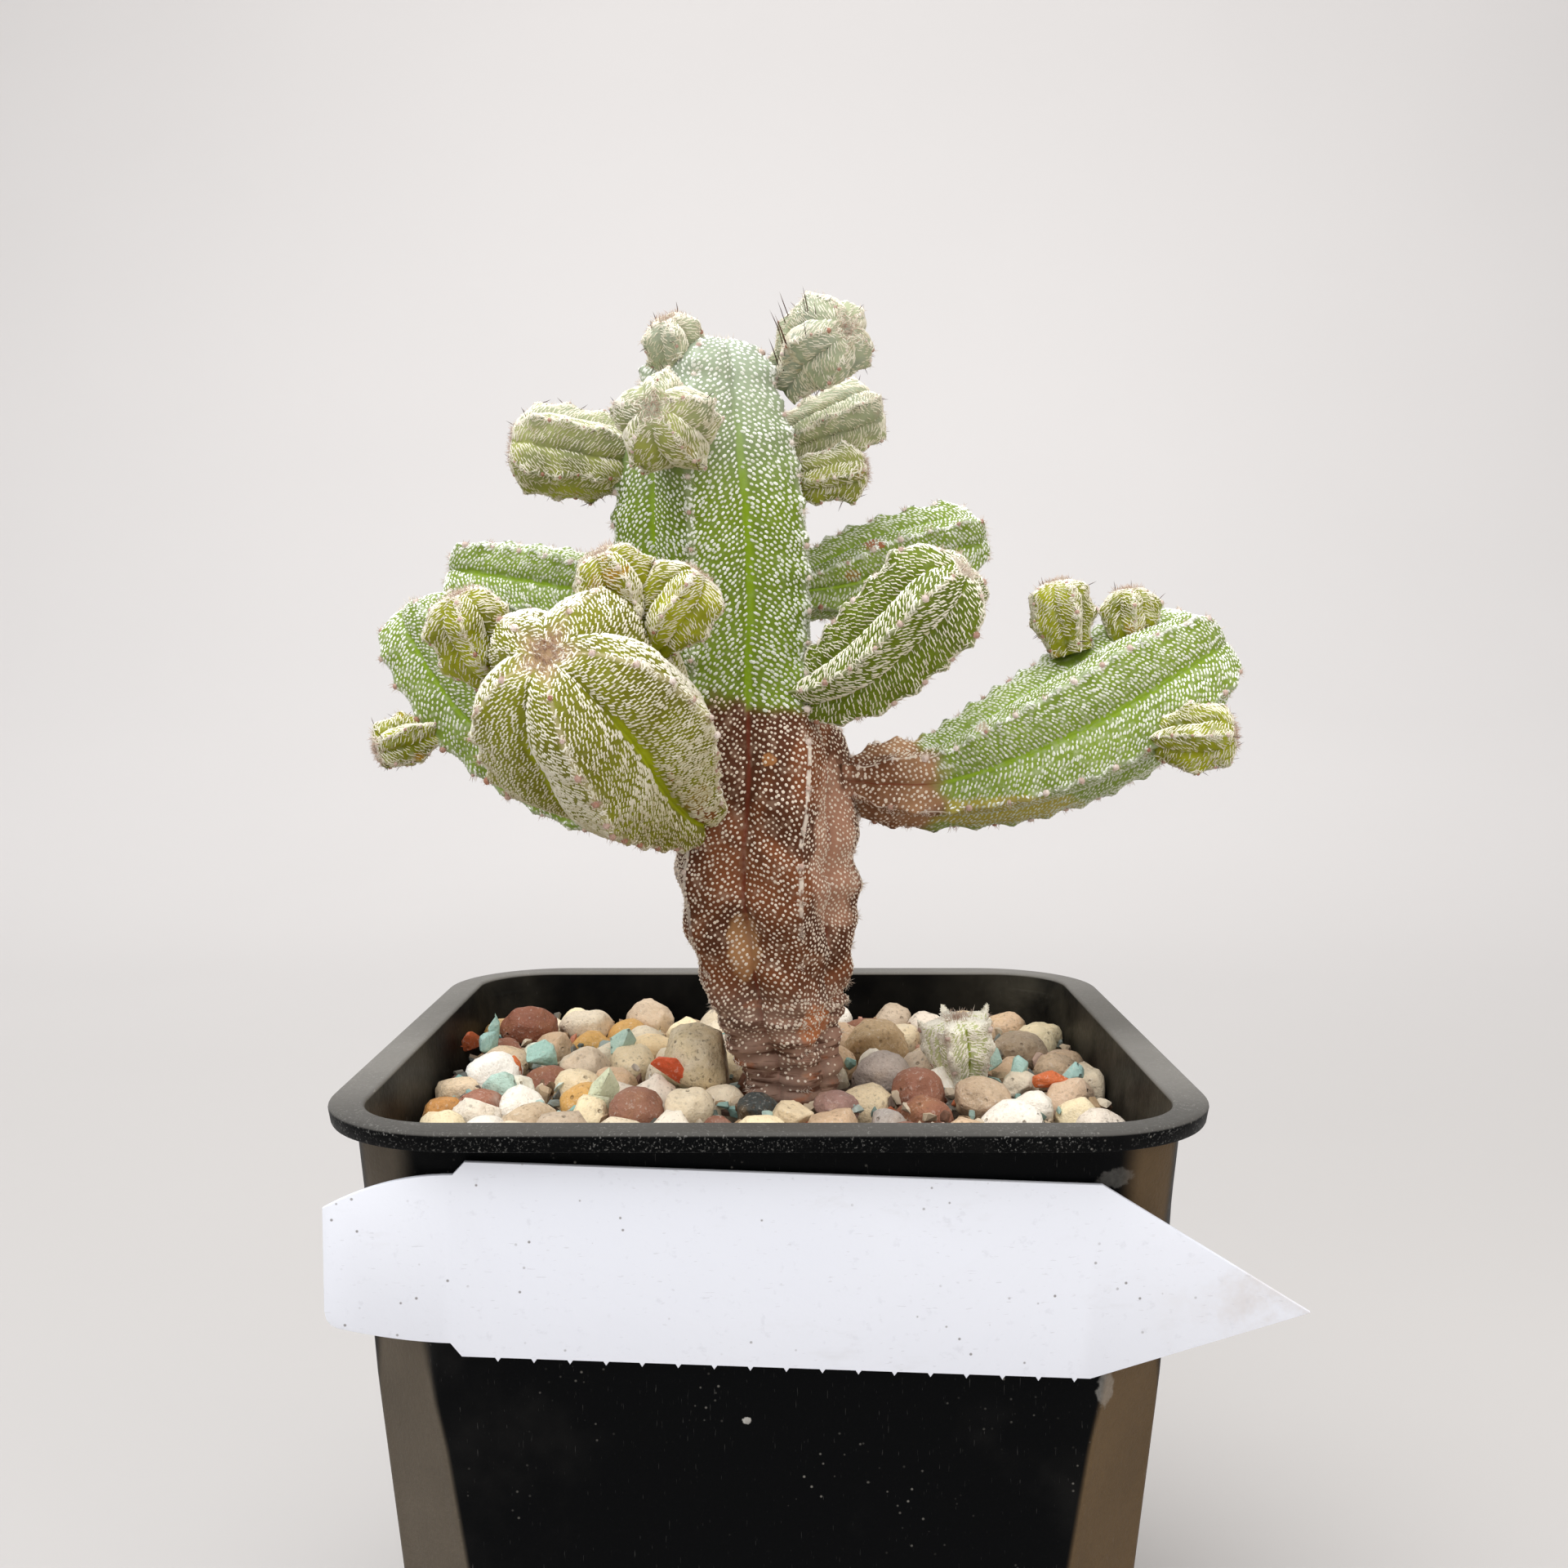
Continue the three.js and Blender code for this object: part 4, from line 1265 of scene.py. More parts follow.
def plant_finishes(settings):
    names = ("fleck", "pup_fleck", "wool", "spine")
    pale, cream, wool, spine = (tuple(getattr(settings, name)) for name in names)
    finishes = {kind: skin_finish(kind, settings) for kind in SKINS}
    finishes["flecks"] = fleck_finish("pale flecks", "#A9AD90", pale)
    finishes["foot_flecks"] = fleck_finish("foot flecks", "#A98F7A", "#E6D8C8")
    finishes["pup_flecks"] = fleck_finish("cream flecks", "#B5AA80", cream)
    finishes["areoles"] = fleck_finish("areole cushions", "#A0705A", "#F0E7DF")
    finishes["wool"] = fleck_finish("areole wool", "#A97F66", wool)
    finishes["spines"] = fleck_finish("dark spines", spine, "#6B4A38")
    return finishes


# Building the stems


# How far outside another skin a fleck still counts as covered
COVER = 0.15


def outside(skins):
    """A test for places that none of the skins covers: the radius at the nearest row decides."""

    def keep(points):
        good = np.ones(len(points), bool)
        for other in skins:
            gap = np.linalg.norm(points[:, None, :] - other.centres[None, :, :], axis=2)
            nearest = gap.argmin(1)
            reach = other.radii[nearest] * (1 - other.spec["depth"] * 0.8) + COVER
            good &= gap[np.arange(len(points)), nearest] > reach
        return good

    return keep


def filter_places(places, good):
    return {key: value[good] for key, value in places.items()}


def facing_places(skin, way, share, count, seed):
    """Random rows and columns of the skin that look a given way."""
    rows, columns = np.meshgrid(np.arange(1, len(skin.points) - 2), np.arange(skin.columns), indexing="ij")
    rows, columns = rows.ravel().astype(float), columns.ravel().astype(float)
    good = np.flatnonzero(skin.facing_at(rows, columns) @ unit(np.array(way, float)) > share)
    picked = np.random.default_rng(seed).choice(good, count)
    return [(rows[i], columns[i]) for i in picked]


def stem_wool(skin, pups, seed):
    """Wool at the areoles, along the ridges of the pups and on the growing points."""
    pattern = FLECKS[skin.spec["flecks"]]
    areoles = areole_rows(skin, skin.pitch)
    wool = [tuft_hairs(skin, areoles, 18, 0.28, 0.55, (0.5, 1.0), pattern["areole"], seed + 60)]
    tips = [(len(skin.points) - 1 - back, c) for back in range(4) for c in range(0, skin.columns, 6)]
    wool.append(tuft_hairs(skin, tips, 3, 0.25, 0.6, (0.6, 1.2), pattern["tip"], seed + 61))
    for i, one in enumerate(pups):
        wool.append(tuft_hairs(one, areole_rows(one, 1.5), 6, 0.24, 0.8, (0.35, 0.85), 0.66, seed + 70 + i))
        tips = [(len(one.points) - 1 - back, c) for back in range(5) for c in range(0, one.columns, 4)]
        wool.append(tuft_hairs(one, tips, 3, 0.22, 0.7, (0.4, 1.0), FLECKS["pup"]["tip"], seed + 90 + i))
    return wool


def chains_and_felt(skin, pattern, chain_seed, felt_seed):
    density, spread, tone = pattern["felt"]
    return chain_flecks(skin, pattern, chain_seed), ridge_felt(skin, density, spread, felt_seed, tone)


def build_stem(node, spec, finishes, shapes, seed):
    """One grown stem with its pups: the skin, its flecks, and the wool and spines at its areoles."""
    skin = Skin(spec, 0.54 if spec.get("old") else 0.5, 22, seed)
    pups = [Skin(one, 0.44, 14, seed + 20 + i) for i, one in enumerate(spec["pups"])]
    shell = Shell()
    for one in [skin, *pups]:
        one.add_to(shell)
    kind = spec["flecks"]
    pattern, pup_pattern = FLECKS[kind], FLECKS["pup"]
    body = shell.piece(node + "_skin", finishes[kind])
    place_piece(body, "pup_skin" if kind == "fallen" else "cactus_skin", [node])

    def spread(suffix, places, shape, look, size, variation):
        piece = scatter(node + suffix, places, shape, finishes[look], *size, variation, seed)
        place_piece(piece, "cactus_skin")

    def spread_flecks(suffix, parts, look, sizes):
        shape = shapes.stroke if sizes.get("wavy") else shapes.fleck
        size = [sizes[key] for key in ("length", "width", "height")]
        spread(suffix, join_places(parts), shape, look, size, 0.15)

    clear_of_pups = outside(pups)
    clear_of_stem = outside([skin])
    has_cork = spec.get("old") or "cork" in spec
    own = []
    for places in chains_and_felt(skin, pattern, seed, seed + 30):
        good = clear_of_pups(places["points"])
        if has_cork:
            good &= cork_at(skin, places) < 0.5
        own.append(filter_places(places, good))
    spread_flecks("_flecks", own, "flecks" if kind in ("column", "branch") else "pup_flecks", pattern)
    if pups:
        thinning = np.random.default_rng(seed + 180)
        cream = []
        for i, one in enumerate(pups):
            for places in chains_and_felt(one, pup_pattern, seed + 40 + i, seed + 130 + i):
                below = 0.4 * smoothstep(-places["facing"][:, 2], 0.0, 0.8)
                kept = thinning.random(len(below)) > below
                cream.append(filter_places(places, kept & clear_of_stem(places["points"])))
        spread_flecks("_pup_flecks", cream, "pup_flecks", pup_pattern)
    if has_cork:
        foot = chain_flecks(skin, FLECKS["foot"], seed + 1)
        good = clear_of_pups(foot["points"]) & (cork_at(skin, foot) >= 0.5)
        low = foot["points"][:, 2] - 85 - 3 * ripple(foot["points"], 5, seed + 2)
        good &= np.random.default_rng(seed + 3).random(len(low)) < low / 9
        spread_flecks("_foot_flecks", [filter_places(foot, good)], "foot_flecks", FLECKS["foot"])
    pads = [areole_pads(skin, skin.pitch, pattern["areole"], 1.0, seed + 170)]
    pads += [areole_pads(one, 2.2, pup_pattern["areole"], 0.62, seed + 171 + i) for i, one in enumerate(pups)]
    pads = join_places(pads)
    if spec.get("old"):
        pads = filter_places(pads, pads["points"][:, 2] > 112)
    spread("_areoles", pads, shapes.pad, "areoles", (1.0, 0.9, 0.34), 0.1)
    spread("_wool", join_places(stem_wool(skin, pups, seed)), shapes.hair, "wool", (0.07, 0.07, 1.0), 0.1)
    if pups:
        spines = [
            tuft_hairs(one, areole_rows(one, 2.4), 1, 0.2, 0.5, (0.4, 1.0), 0.3, seed + 110 + i)
            for i, one in enumerate(pups)
        ]
        spread("_spines", join_places(spines), shapes.spine, "spines", (0.11, 0.11, 1.3), 0.3)
    for one in pups:
        if one.spec.get("hairy"):
            places = facing_places(one, (-1, -0.5, -0.1), 0.8, 16, seed + 150)
            hairs = tuft_hairs(one, places, 1, 0.2, 0.2, (0.6, 1.1), 0.3, seed + 151, 2.6)
            spread("_long_hairs", hairs, shapes.spine, "spines", (0.16, 0.16, 3.2), 0.2)


def cork_at(skin, places):
    """Cork share of the grid point nearest to each place."""
    flat = skin.points.reshape(-1, 3)
    tree = kdtree.KDTree(len(flat))
    for i, point in enumerate(flat):
        tree.insert(point, i)
    tree.balance()
    cork = skin.cork.ravel()
    return np.array([cork[tree.find(p)[1]] for p in places["points"]])


# Pot

POT_HEIGHT = 92.0
RIM_HALF = 47.5
RIM_TOP_WIDTH = 4.2
RIM_SKIRT = 2.15
RIM_CORNER = 16.0
RIM_INNER_CORNER = 10.0
BASE_HALF = 37.8
WALL_SLOPE = 0.0752
CHAMFER_AT_BASE = 12.3
CHAMFER_SLOPE = 0.063
WALL = 1.3
FLOOR = 1.6
DRAIN_RADIUS = 3.5
DRAIN_OFFSET = 22.0
CORNER_STEPS = 18
SIDE_STEPS = 14
POT_SHARP = math.radians(38)

# Scuffs and stains on the plastic: place, reach and strength
POT_MARKS = [
    ((0.0355, -0.0445, 0.0862), (0.0022, 0.006, 0.0011), 0.14),
    ((0.035, -0.041, 0.0636), (0.0012, 0.006, 0.0022), 0.3),
    ((-0.0022, -0.042, 0.0603), (0.0005, 0.006, 0.0004), 0.9),
]


def square_ring(half, leg, roundness, z):
    """One level of the pot: a square whose corners go from a flat chamfer to a quarter circle."""
    share = np.arange(CORNER_STEPS + 1) / CORNER_STEPS
    edge = np.exp(-((share / 0.07) ** 2)) + np.exp(-(((1 - share) / 0.07) ** 2))
    bend = roundness + (1 - roundness) * np.clip(edge, 0, 1) * 0.6
    angle = share * math.pi / 2
    arc = half - leg + leg * np.stack([np.cos(angle), np.sin(angle)], axis=1)
    flat = half - leg * np.stack([share, 1 - share], axis=1)
    corner = flat + (arc - flat) * bend[:, None]
    down = np.linspace(-(half - leg), half - leg, SIDE_STEPS + 2)[1:-1]
    side = np.stack([np.full(SIDE_STEPS, half), down], axis=1)
    quarter = np.concatenate([side, corner])
    ring = []
    for turn in range(4):
        c, s = [(1, 0), (0, 1), (-1, 0), (0, -1)][turn]
        x, y = quarter[:, 0], quarter[:, 1]
        ring.append(np.stack([x * c - y * s, x * s + y * c], axis=1))
    flat_ring = np.concatenate(ring)
    return np.column_stack([flat_ring, np.full(len(flat_ring), z)])


def outer_wall(z):
    half = BASE_HALF + WALL_SLOPE * z
    near_rim = float(smoothstep(z, POT_HEIGHT - 32, POT_HEIGHT - 4))
    leg = (CHAMFER_AT_BASE - CHAMFER_SLOPE * z) * (1 - near_rim) + (RIM_CORNER - 3) * near_rim
    return half, leg, 0.08 + 0.92 * near_rim


def wall_ring(z):
    return square_ring(*outer_wall(z), z)


def inner_ring(z, inset=0.0):
    half, leg, roundness = outer_wall(z)
    return square_ring(half - WALL - inset, leg - WALL * 0.6, roundness, z)


def pot_rings(edge):
    """Rings from the underside, up the outer wall, over the rim and down inside."""
    skirt = POT_HEIGHT - RIM_SKIRT
    opening = RIM_HALF - RIM_TOP_WIDTH
    rings = [square_ring(BASE_HALF - 0.8, CHAMFER_AT_BASE - 0.4, 0.08, 0.0)]
    rings += [square_ring(BASE_HALF - 0.3, CHAMFER_AT_BASE - 0.2, 0.08, 0.25)]
    heights = (0.8, 3, 10, 20, 30, 40, 50, 58, 62, 66, 70, 74, 77, 80, 83, 86, 88, skirt - 0.4)
    rings += [wall_ring(z) for z in heights]
    half, leg, roundness = outer_wall(skirt)
    rings.append(square_ring(half + 0.1, leg, roundness, skirt - 0.1))
    rings.append(square_ring(half + 0.4, leg, roundness, skirt))
    rings.append(square_ring(RIM_HALF - 0.5, RIM_CORNER, 1, skirt))
    rings.append(square_ring(RIM_HALF - 0.3, RIM_CORNER, 1, skirt + 0.08))
    rings.append(square_ring(RIM_HALF - 0.2, RIM_CORNER, 1, skirt + 0.3))
    for k in range(5):
        turn = k / 4 * math.pi / 2
        inward = edge * (1 - math.cos(turn))
        rings.append(square_ring(RIM_HALF - inward, RIM_CORNER, 1, POT_HEIGHT - edge + edge * math.sin(turn)))
    middle = (RIM_HALF + opening) / 2
    rings.append(square_ring(middle, (RIM_CORNER + RIM_INNER_CORNER) / 2, 1, POT_HEIGHT - 0.05))
    for k in range(5):
        turn = k / 4 * math.pi / 2
        outward = edge * (1 - math.sin(turn))
        height = POT_HEIGHT - edge + edge * math.cos(turn)
        rings.append(square_ring(opening + outward, RIM_INNER_CORNER, 1, height))
    rings += [inner_ring(z) for z in (88.5, 86, 84, 82, 78, 74, 70, 66, 62, 58, 50, 30, FLOOR + 0.6)]
    rings.append(inner_ring(FLOOR, 0.5))
    return rings


def pot_finish(settings):
    """Black moulded plastic, browned by dust at its corners, with the right-hand corners painted warmer as a
    painted warm light from that side, greyed at its rim, least along the front, and with fine specks.
    """
    finish = Finish("pot plastic")
    x, y, z = (finish.axis(a) for a in "XYZ")
    far, near = abs(x).most(abs(y)), abs(x).least(abs(y))
    leg = CHAMFER_AT_BASE * MM - CHAMFER_SLOPE * z
    edge = 1.0 - leg / (BASE_HALF * MM + WALL_SLOPE * z)
    high = z.rise(0.056, 0.076)
    edge = edge + high * (0.87 - edge)
    corner = ((near / far - edge) / (0.02 + 0.08 * high)).rise(-0.5, 0.5)
    below_rim = z.rise(0.0898, 0.0894)
    top, inside = finish.value("top"), finish.value("inside")
    cloud = finish.noise(0.014, 4, 0.6)
    grain = finish.noise(0.0007, 3, 0.65)
    dust = tuple(settings.dust)
    specks = finish.cells(0.0011).rise(0.17, 0.05) * finish.noise(0.009, 3, 0.6).rise(0.52, 0.66)
    base = finish.mix(finish.noise(0.022, 4, 0.65).rise(0.52, 0.8) * 0.02, tuple(settings.plastic), dust)
    base = finish.mix(specks * 0.5 * (1.0 - inside), base, dust)
    # The corners are worn and dusty; the warmer tint on the right-hand corners is painted light, a warm light
    # from the right
    worn_and_side_light = finish.mix(x.rise(-0.02, 0.02), tuple(settings.worn_and_side_light), "#66543E")
    worn_share = corner * below_rim * (1.0 - inside) * (0.72 + 0.28 * grain) * (0.7 + 0.5 * cloud)
    base = finish.mix(worn_share.within(), base, worn_and_side_light)
    # The rim top greyed, least along the front edge
    rim_share = top * (0.62 + 0.3 * cloud) * (0.4 + 0.6 * y.rise(-0.046, -0.02))
    base = finish.mix(rim_share.within(), base, "#8A8782")
    scuffs = finish.noise(0.0003, 2, 0.7).rise(0.56, 0.72) * finish.noise(0.005, 3, 0.6).rise(0.3, 0.6)
    base = finish.mix(scuffs * z.rise(0.0893, 0.0897) * (1.0 - inside) * 0.36, base, "#A9A8A4")
    # The inner walls lighter, most of all the right one: a little dust, and painted light on the lit inner
    # walls
    wall = inside * (0.06 + 0.4 * x.rise(0.022, 0.042) + 0.2 * x.rise(-0.03, -0.042)) * cloud.rise(0.3, 0.7)
    base = finish.mix(wall, base, "#5F5A4E")
    scratch = finish.noise(0.0016, 2, 0.5, at=finish.stretched(14, 1, 1)).rise(0.7, 0.76)
    base = finish.mix(scratch * 0.25 * top.most(0.25), base, "#B8B6B2")
    for centre, reach, strength in POT_MARKS:
        base = finish.mix(finish.spot(centre, reach) * strength * (0.3 + grain), base, "#B9B6B0")
    rough = 0.34 + 0.22 * grain + 0.22 * worn_share + 0.12 * rim_share
    bumps = grain * (0.25 + corner * below_rim)
    normal = finish.relief(bumps, 0.00022, 0.6)
    return finish.done(base, rough.within(), normal, Specular_IOR_Level=0.055)


def build_pot(settings):
    rings = pot_rings(settings.edge / MM)
    points = np.concatenate(rings + [[[0, 0, 0]], [[0, 0, FLOOR]]])
    shell = Shell()
    columns = len(rings[0])
    ring_top = np.repeat([1.0 if r[0, 2] > POT_HEIGHT - 0.3 else 0.0 for r in rings], columns)
    peak = int(np.argmax([r[0, 2] for r in rings]))
    inside = np.repeat([1.0 if i > peak + 4 else 0.0 for i in range(len(rings))], columns)
    shell.add(
        points,
        ring_faces(len(rings), columns),
        top=np.append(ring_top, [0, 0]),
        inside=np.append(inside, [0, 1]),
    )
    pot = shell.piece("pot_shell", pot_finish(settings), POT_SHARP)
    cutter = drain_cutter()
    cut = pot.modifiers.new("drains", "BOOLEAN")
    cut.operation = "DIFFERENCE"
    cut.solver = "EXACT"
    cut.object = cutter
    apply_modifiers(pot)
    drop(cutter)
    pot.data.set_sharp_from_angle(angle=POT_SHARP)
    place_piece(pot, "pot_plastic", ["pot"])


def drain_cutter():
    """Four upright plugs that open the drain holes."""
    made = bmesh.new()
    radius = DRAIN_RADIUS * MM
    for i in range(4):
        turn = math.pi / 4 + i * math.pi / 2
        place = Matrix.Translation(Vector((math.cos(turn), math.sin(turn), 0)) * DRAIN_OFFSET * MM)
        bmesh.ops.create_cone(
            made, cap_ends=True, segments=40, radius1=radius, radius2=radius, depth=8 * MM, matrix=place
        )
    cutter = bpy.data.objects.new("drain plugs", closed_mesh(made, "drain plugs"))
    bpy.context.scene.collection.objects.link(cutter)
    cutter.hide_render = True
    return cutter


# Gravel

MIX_TOP = 78.5
BED_TOP = 84.2
STONE_COUNT = 132
LARGE_STONES = 70
STONE_SEED = 4711
LARGE_STONE_TRIES = 3000
STONE_TRIES = 20000

# x, y, half size, extra lift, colour and how speckled: the stones that show best
NAMED_STONES = [
    (-9.6, 0.4, 5.2, 1.7, "#C0AE8C", 0.9, (1.3, 1.25)),
    (-35, 27.5, 4.3, 0.4, "#7E4C38", 0.1),
    (18.3, -6.5, 3.6, 0.4, "#8A5D4A", 0.1),
    (-16, -15, 3.4, 0.2, "#8C6250", 0.2),
    (-36, 3, 3.8, 0, "#EAE6DE", 0.1),
    (-25, 9, 3.5, 0, "#CDBBA4", 0.4),
    (-27.5, 32, 4.1, 0, "#D2C3AC", 0.4),
    (-18.5, 37, 4.2, 0, "#CBB59C", 0.3),
    (14.6, 19.5, 5, 0, "#B09673", 0.5),
    (26, -9, 3.6, 0, "#B7A086", 0.4),
    (34.5, 17, 3.8, 0, "#A3907A", 0.5),
    (37.5, 7, 3, 0, "#BDA489", 0.3),
    (14.4, 2.4, 4, 0, "#A89B92", 0.4),
    (-16.8, 19, 3.2, 0, "#DDC49B", 0.2),
    (-35, -15.5, 3, 0, "#D9D0C2", 0.5),
    (2.4, -17, 3, 0, "#D5C1A0", 0.3),
    (8, -12.6, 3, 0, "#8F6F66", 0.2),
    (-1.6, -12.6, 2.8, 0, "#3B3F3E", 1.0),
    (-10, -13, 3.4, 0, "#D8C8AC", 0.3),
    (-32, 15.6, 2.6, 0, "#C9CDBB", 0.2),
    (-32, -5, 2.8, 0, "#D3D0C0", 0.3),
    (32, -12, 2.8, 0, "#E2DACD", 0.2),
    (31.8, -1, 2.8, 0, "#CDBFA9", 0.2),
]

# Colours noted near other places of the bed
NOTED_STONES = [
    (-12.8, 40, "#B98C60"),
    (-39, -11.6, "#B07C42"),
    (-42.5, -12.8, "#D3B9A8"),
    (-26.2, -14, "#6A4438"),
    (-40.7, 22.1, "#A3B5A8"),
    (-43, 9, "#8DB9B2"),
    (39.7, 4.1, "#C6B79F"),
    (21.7, -17.6, "#44403E"),
    (35.9, -4.6, "#C9AE94"),
    (27.2, -15.3, "#E4DCCF"),
    (29.3, -18, "#7C4A3C"),
    (-5.7, -16.2, "#DCC29A"),
    (12.6, -16.2, "#9C938C"),
    (14.7, 0.1, "#A49A92"),
    (-11, -14.5, "#D9C9B0"),
]

STONE_TINTS = [
    "#DCCDB4", "#CDB79A", "#E6DCCB", "#C2A587", "#E3D2AE", "#D8CBBB", "#B9A690",
    "#8A5B47", "#D9C6A4", "#C79A58", "#E9E3D8",
]
STONE_STAINS = ["#C79A5C", "#EFE9DE", "#A08260", "#D9B77E"]

# Angular chips: place, size, turn, tilt, roll and colour
CHIPS = [
    ((-12.6, -6.4, 89.0), (4.6, 1.1, 2.0), 6, 14, 40, "#C4532F"),
    ((-20.6, -9.0, 86.6), (3.4, 1.6, 4.4), 14, 8, 14, "#CBD0B2"),
    ((-21.4, -12.6, 85.6), (4.6, 1.6, 2.2), -6, 20, -22, "#C4C8AE"),
    ((-20.4, 15, 87.2), (3.4, 2.6, 3.0), 30, 10, 20, "#A3BBAE"),
    ((-30.5, 8, 87.4), (4.0, 2.4, 2.6), 12, -14, 10, "#97B8AC"),
    ((-38.6, 14, 87.4), (3.2, 2.2, 2.6), 50, 12, 30, "#8FAEA6"),
    ((-38.4, 16.5, 89.0), (1.4, 1.2, 2.4), 10, 4, 6, "#9CBAB0"),
    ((-33.2, -7, 86.6), (4.4, 2.8, 3.0), -10, 16, 12, "#A7C0B4"),
    ((-41.4, 15.5, 87.4), (2.2, 2.0, 2.4), 15, 30, 0, "#C2623A"),
    ((-33.8, 2.8, 86.9), (2.4, 2.0, 2.0), 40, 0, 20, "#C46A38"),
    ((31.5, 0, 87.2), (3.0, 2.4, 2.6), 25, 10, 0, "#A0BFB6"),
    ((28.6, 2.2, 87.9), (2.4, 2.4, 2.4), 60, 20, 15, "#AEC8BE"),
    ((38.6, -1, 86.9), (2.6, 2.2, 2.2), 10, 10, 5, "#9CBDB6"),
    ((35.2, -4.6, 86.9), (4.4, 2.0, 1.7), 4, 6, 4, "#C4673A"),
]


def stone_places():
    draw = FrameRandom(STONE_SEED)
    reach = BASE_HALF + WALL_SLOPE * BED_TOP - WALL - 2.6
    stones = [
        dict(x=x, y=y, size=s, lift=l, named=True, tint=t, speckle=p, grown=grown[0] if grown else (1.0, 1.0))
        for x, y, s, l, t, p, *grown in NAMED_STONES
    ]
    tries = 0
    while tries < STONE_TRIES and len(stones) < STONE_COUNT:
        size = 2.8 + 1.3 * draw() if tries < LARGE_STONE_TRIES else 2.3 + 0.6 * draw()
        x = (2 * draw() - 1) * reach
        y = (2 * draw() - 1) * reach
        lift = 0.6 * draw() - 0.3
        in_corner = abs(x) + abs(y) > 2 * reach - 7
        on_stem = math.hypot(x - STEM_AXIS[0], y - STEM_AXIS[1]) < 5 + size
        free = all(math.hypot(x - o["x"], y - o["y"]) > 0.82 * (size + o["size"]) for o in stones)
        if free and not on_stem and not in_corner:
            stones.append(dict(x=x, y=y, size=size, lift=lift, named=False))
        tries += 1
    return stones


def turn_about(points, axis, angle):
    return points @ np.array(Matrix.Rotation(angle, 3, axis)).T


def unit_ball(levels):
    made = bmesh.new()
    bmesh.ops.create_icosphere(made, subdivisions=levels, radius=1.0)
    return points_and_faces(made)


def stone_shape(stone, draw, ball, uneven, seed):
    """One pebble, sized and turned as its plain solid is, with flats and dents of its own."""
    size = stone["size"]
    width = size * (0.8 + 0.2 * draw())
    height = size * (0.66 + 0.2 * draw())
    rng = np.random.default_rng(seed)
    points = ball.copy()
    ways = unit(rng.normal(size=(14, 3)))
    cuts = rng.uniform(0.66, 0.92, 14)
    rounder = rng.random() < 0.4 or stone.get("speckle", 1) < 0.15
    cuts = cuts + (0.14 if rounder else 0.0)
    for way, cut in zip(ways, cuts):
        over = points @ way - cut
        points = points - np.clip(over, 0, None)[:, None] * way * 0.9
    points = points * (1 + uneven / size * ripple(ball * size, size * 1.1, seed) * 0.7)[:, None]
    points = points * (1 + 0.03 * ripple(ball * size, size * 0.35, seed + 1))[:, None]
    points = points * (1 + 0.012 * ripple(ball * size, size * 0.14, seed + 2))[:, None]
    points = turn_about(points, "Z", 2 * math.pi * draw())
    wide, tall = stone.get("grown", (1.0, 1.3))
    points = points * np.array([size * wide, width * wide, height * tall])
    points = points * (1.02 if stone["named"] else 1.05)
    points = turn_about(points, "X", 0.4 * (draw() - 0.5))
    points = turn_about(points, "Y", 0.4 * (draw() - 0.5))
    points = turn_about(points, "Z", 2 * math.pi * draw())
    lift = (0.34 * size if stone["named"] else -0.3) + stone["lift"]
    return points + np.array([stone["x"], stone["y"], BED_TOP + lift])


# Space between the stones and the pot's wall
WALL_GAP = 0.25


def keep_in_pot(points):
    """Pushes points in from the pot's wall and out from the stem's foot."""
    half = BASE_HALF + WALL_SLOPE * points[:, 2] - WALL - WALL_GAP
    points = points.copy()
    points[:, 0] = np.clip(points[:, 0], -half, half)
    points[:, 1] = np.clip(points[:, 1], -half, half)
    corner = 2 * half - 5.4
    total = np.abs(points[:, 0]) + np.abs(points[:, 1])
    over = np.clip(total - corner, 0, None) / 2
    points[:, 0] -= np.sign(points[:, 0]) * over
    points[:, 1] -= np.sign(points[:, 1]) * over
    away = points[:, :2] - np.array(STEM_AXIS)
    distance = np.linalg.norm(away, axis=1)
    foot = np.interp(points[:, 2], [78, 86, 90, 95], [5, 6.3, 6.8, 8.6]) + 0.1
    push = np.clip(foot - distance, 0, None)
    points[:, :2] += unit(away) * push[:, None]
    return points


def stone_tint(stone, rng):
    if stone.get("tint"):
        return colour(stone["tint"]), stone["speckle"]
    for x, y, tint in NOTED_STONES:
        if math.hypot(stone["x"] - x, stone["y"] - y) < 3.2:
            return colour(tint), 0.3
    tint = np.array(colour(STONE_TINTS[rng.integers(len(STONE_TINTS))]))
    return tuple(np.clip(tint * rng.uniform(0.85, 1.12), 0, 1)), rng.uniform(0, 0.7)


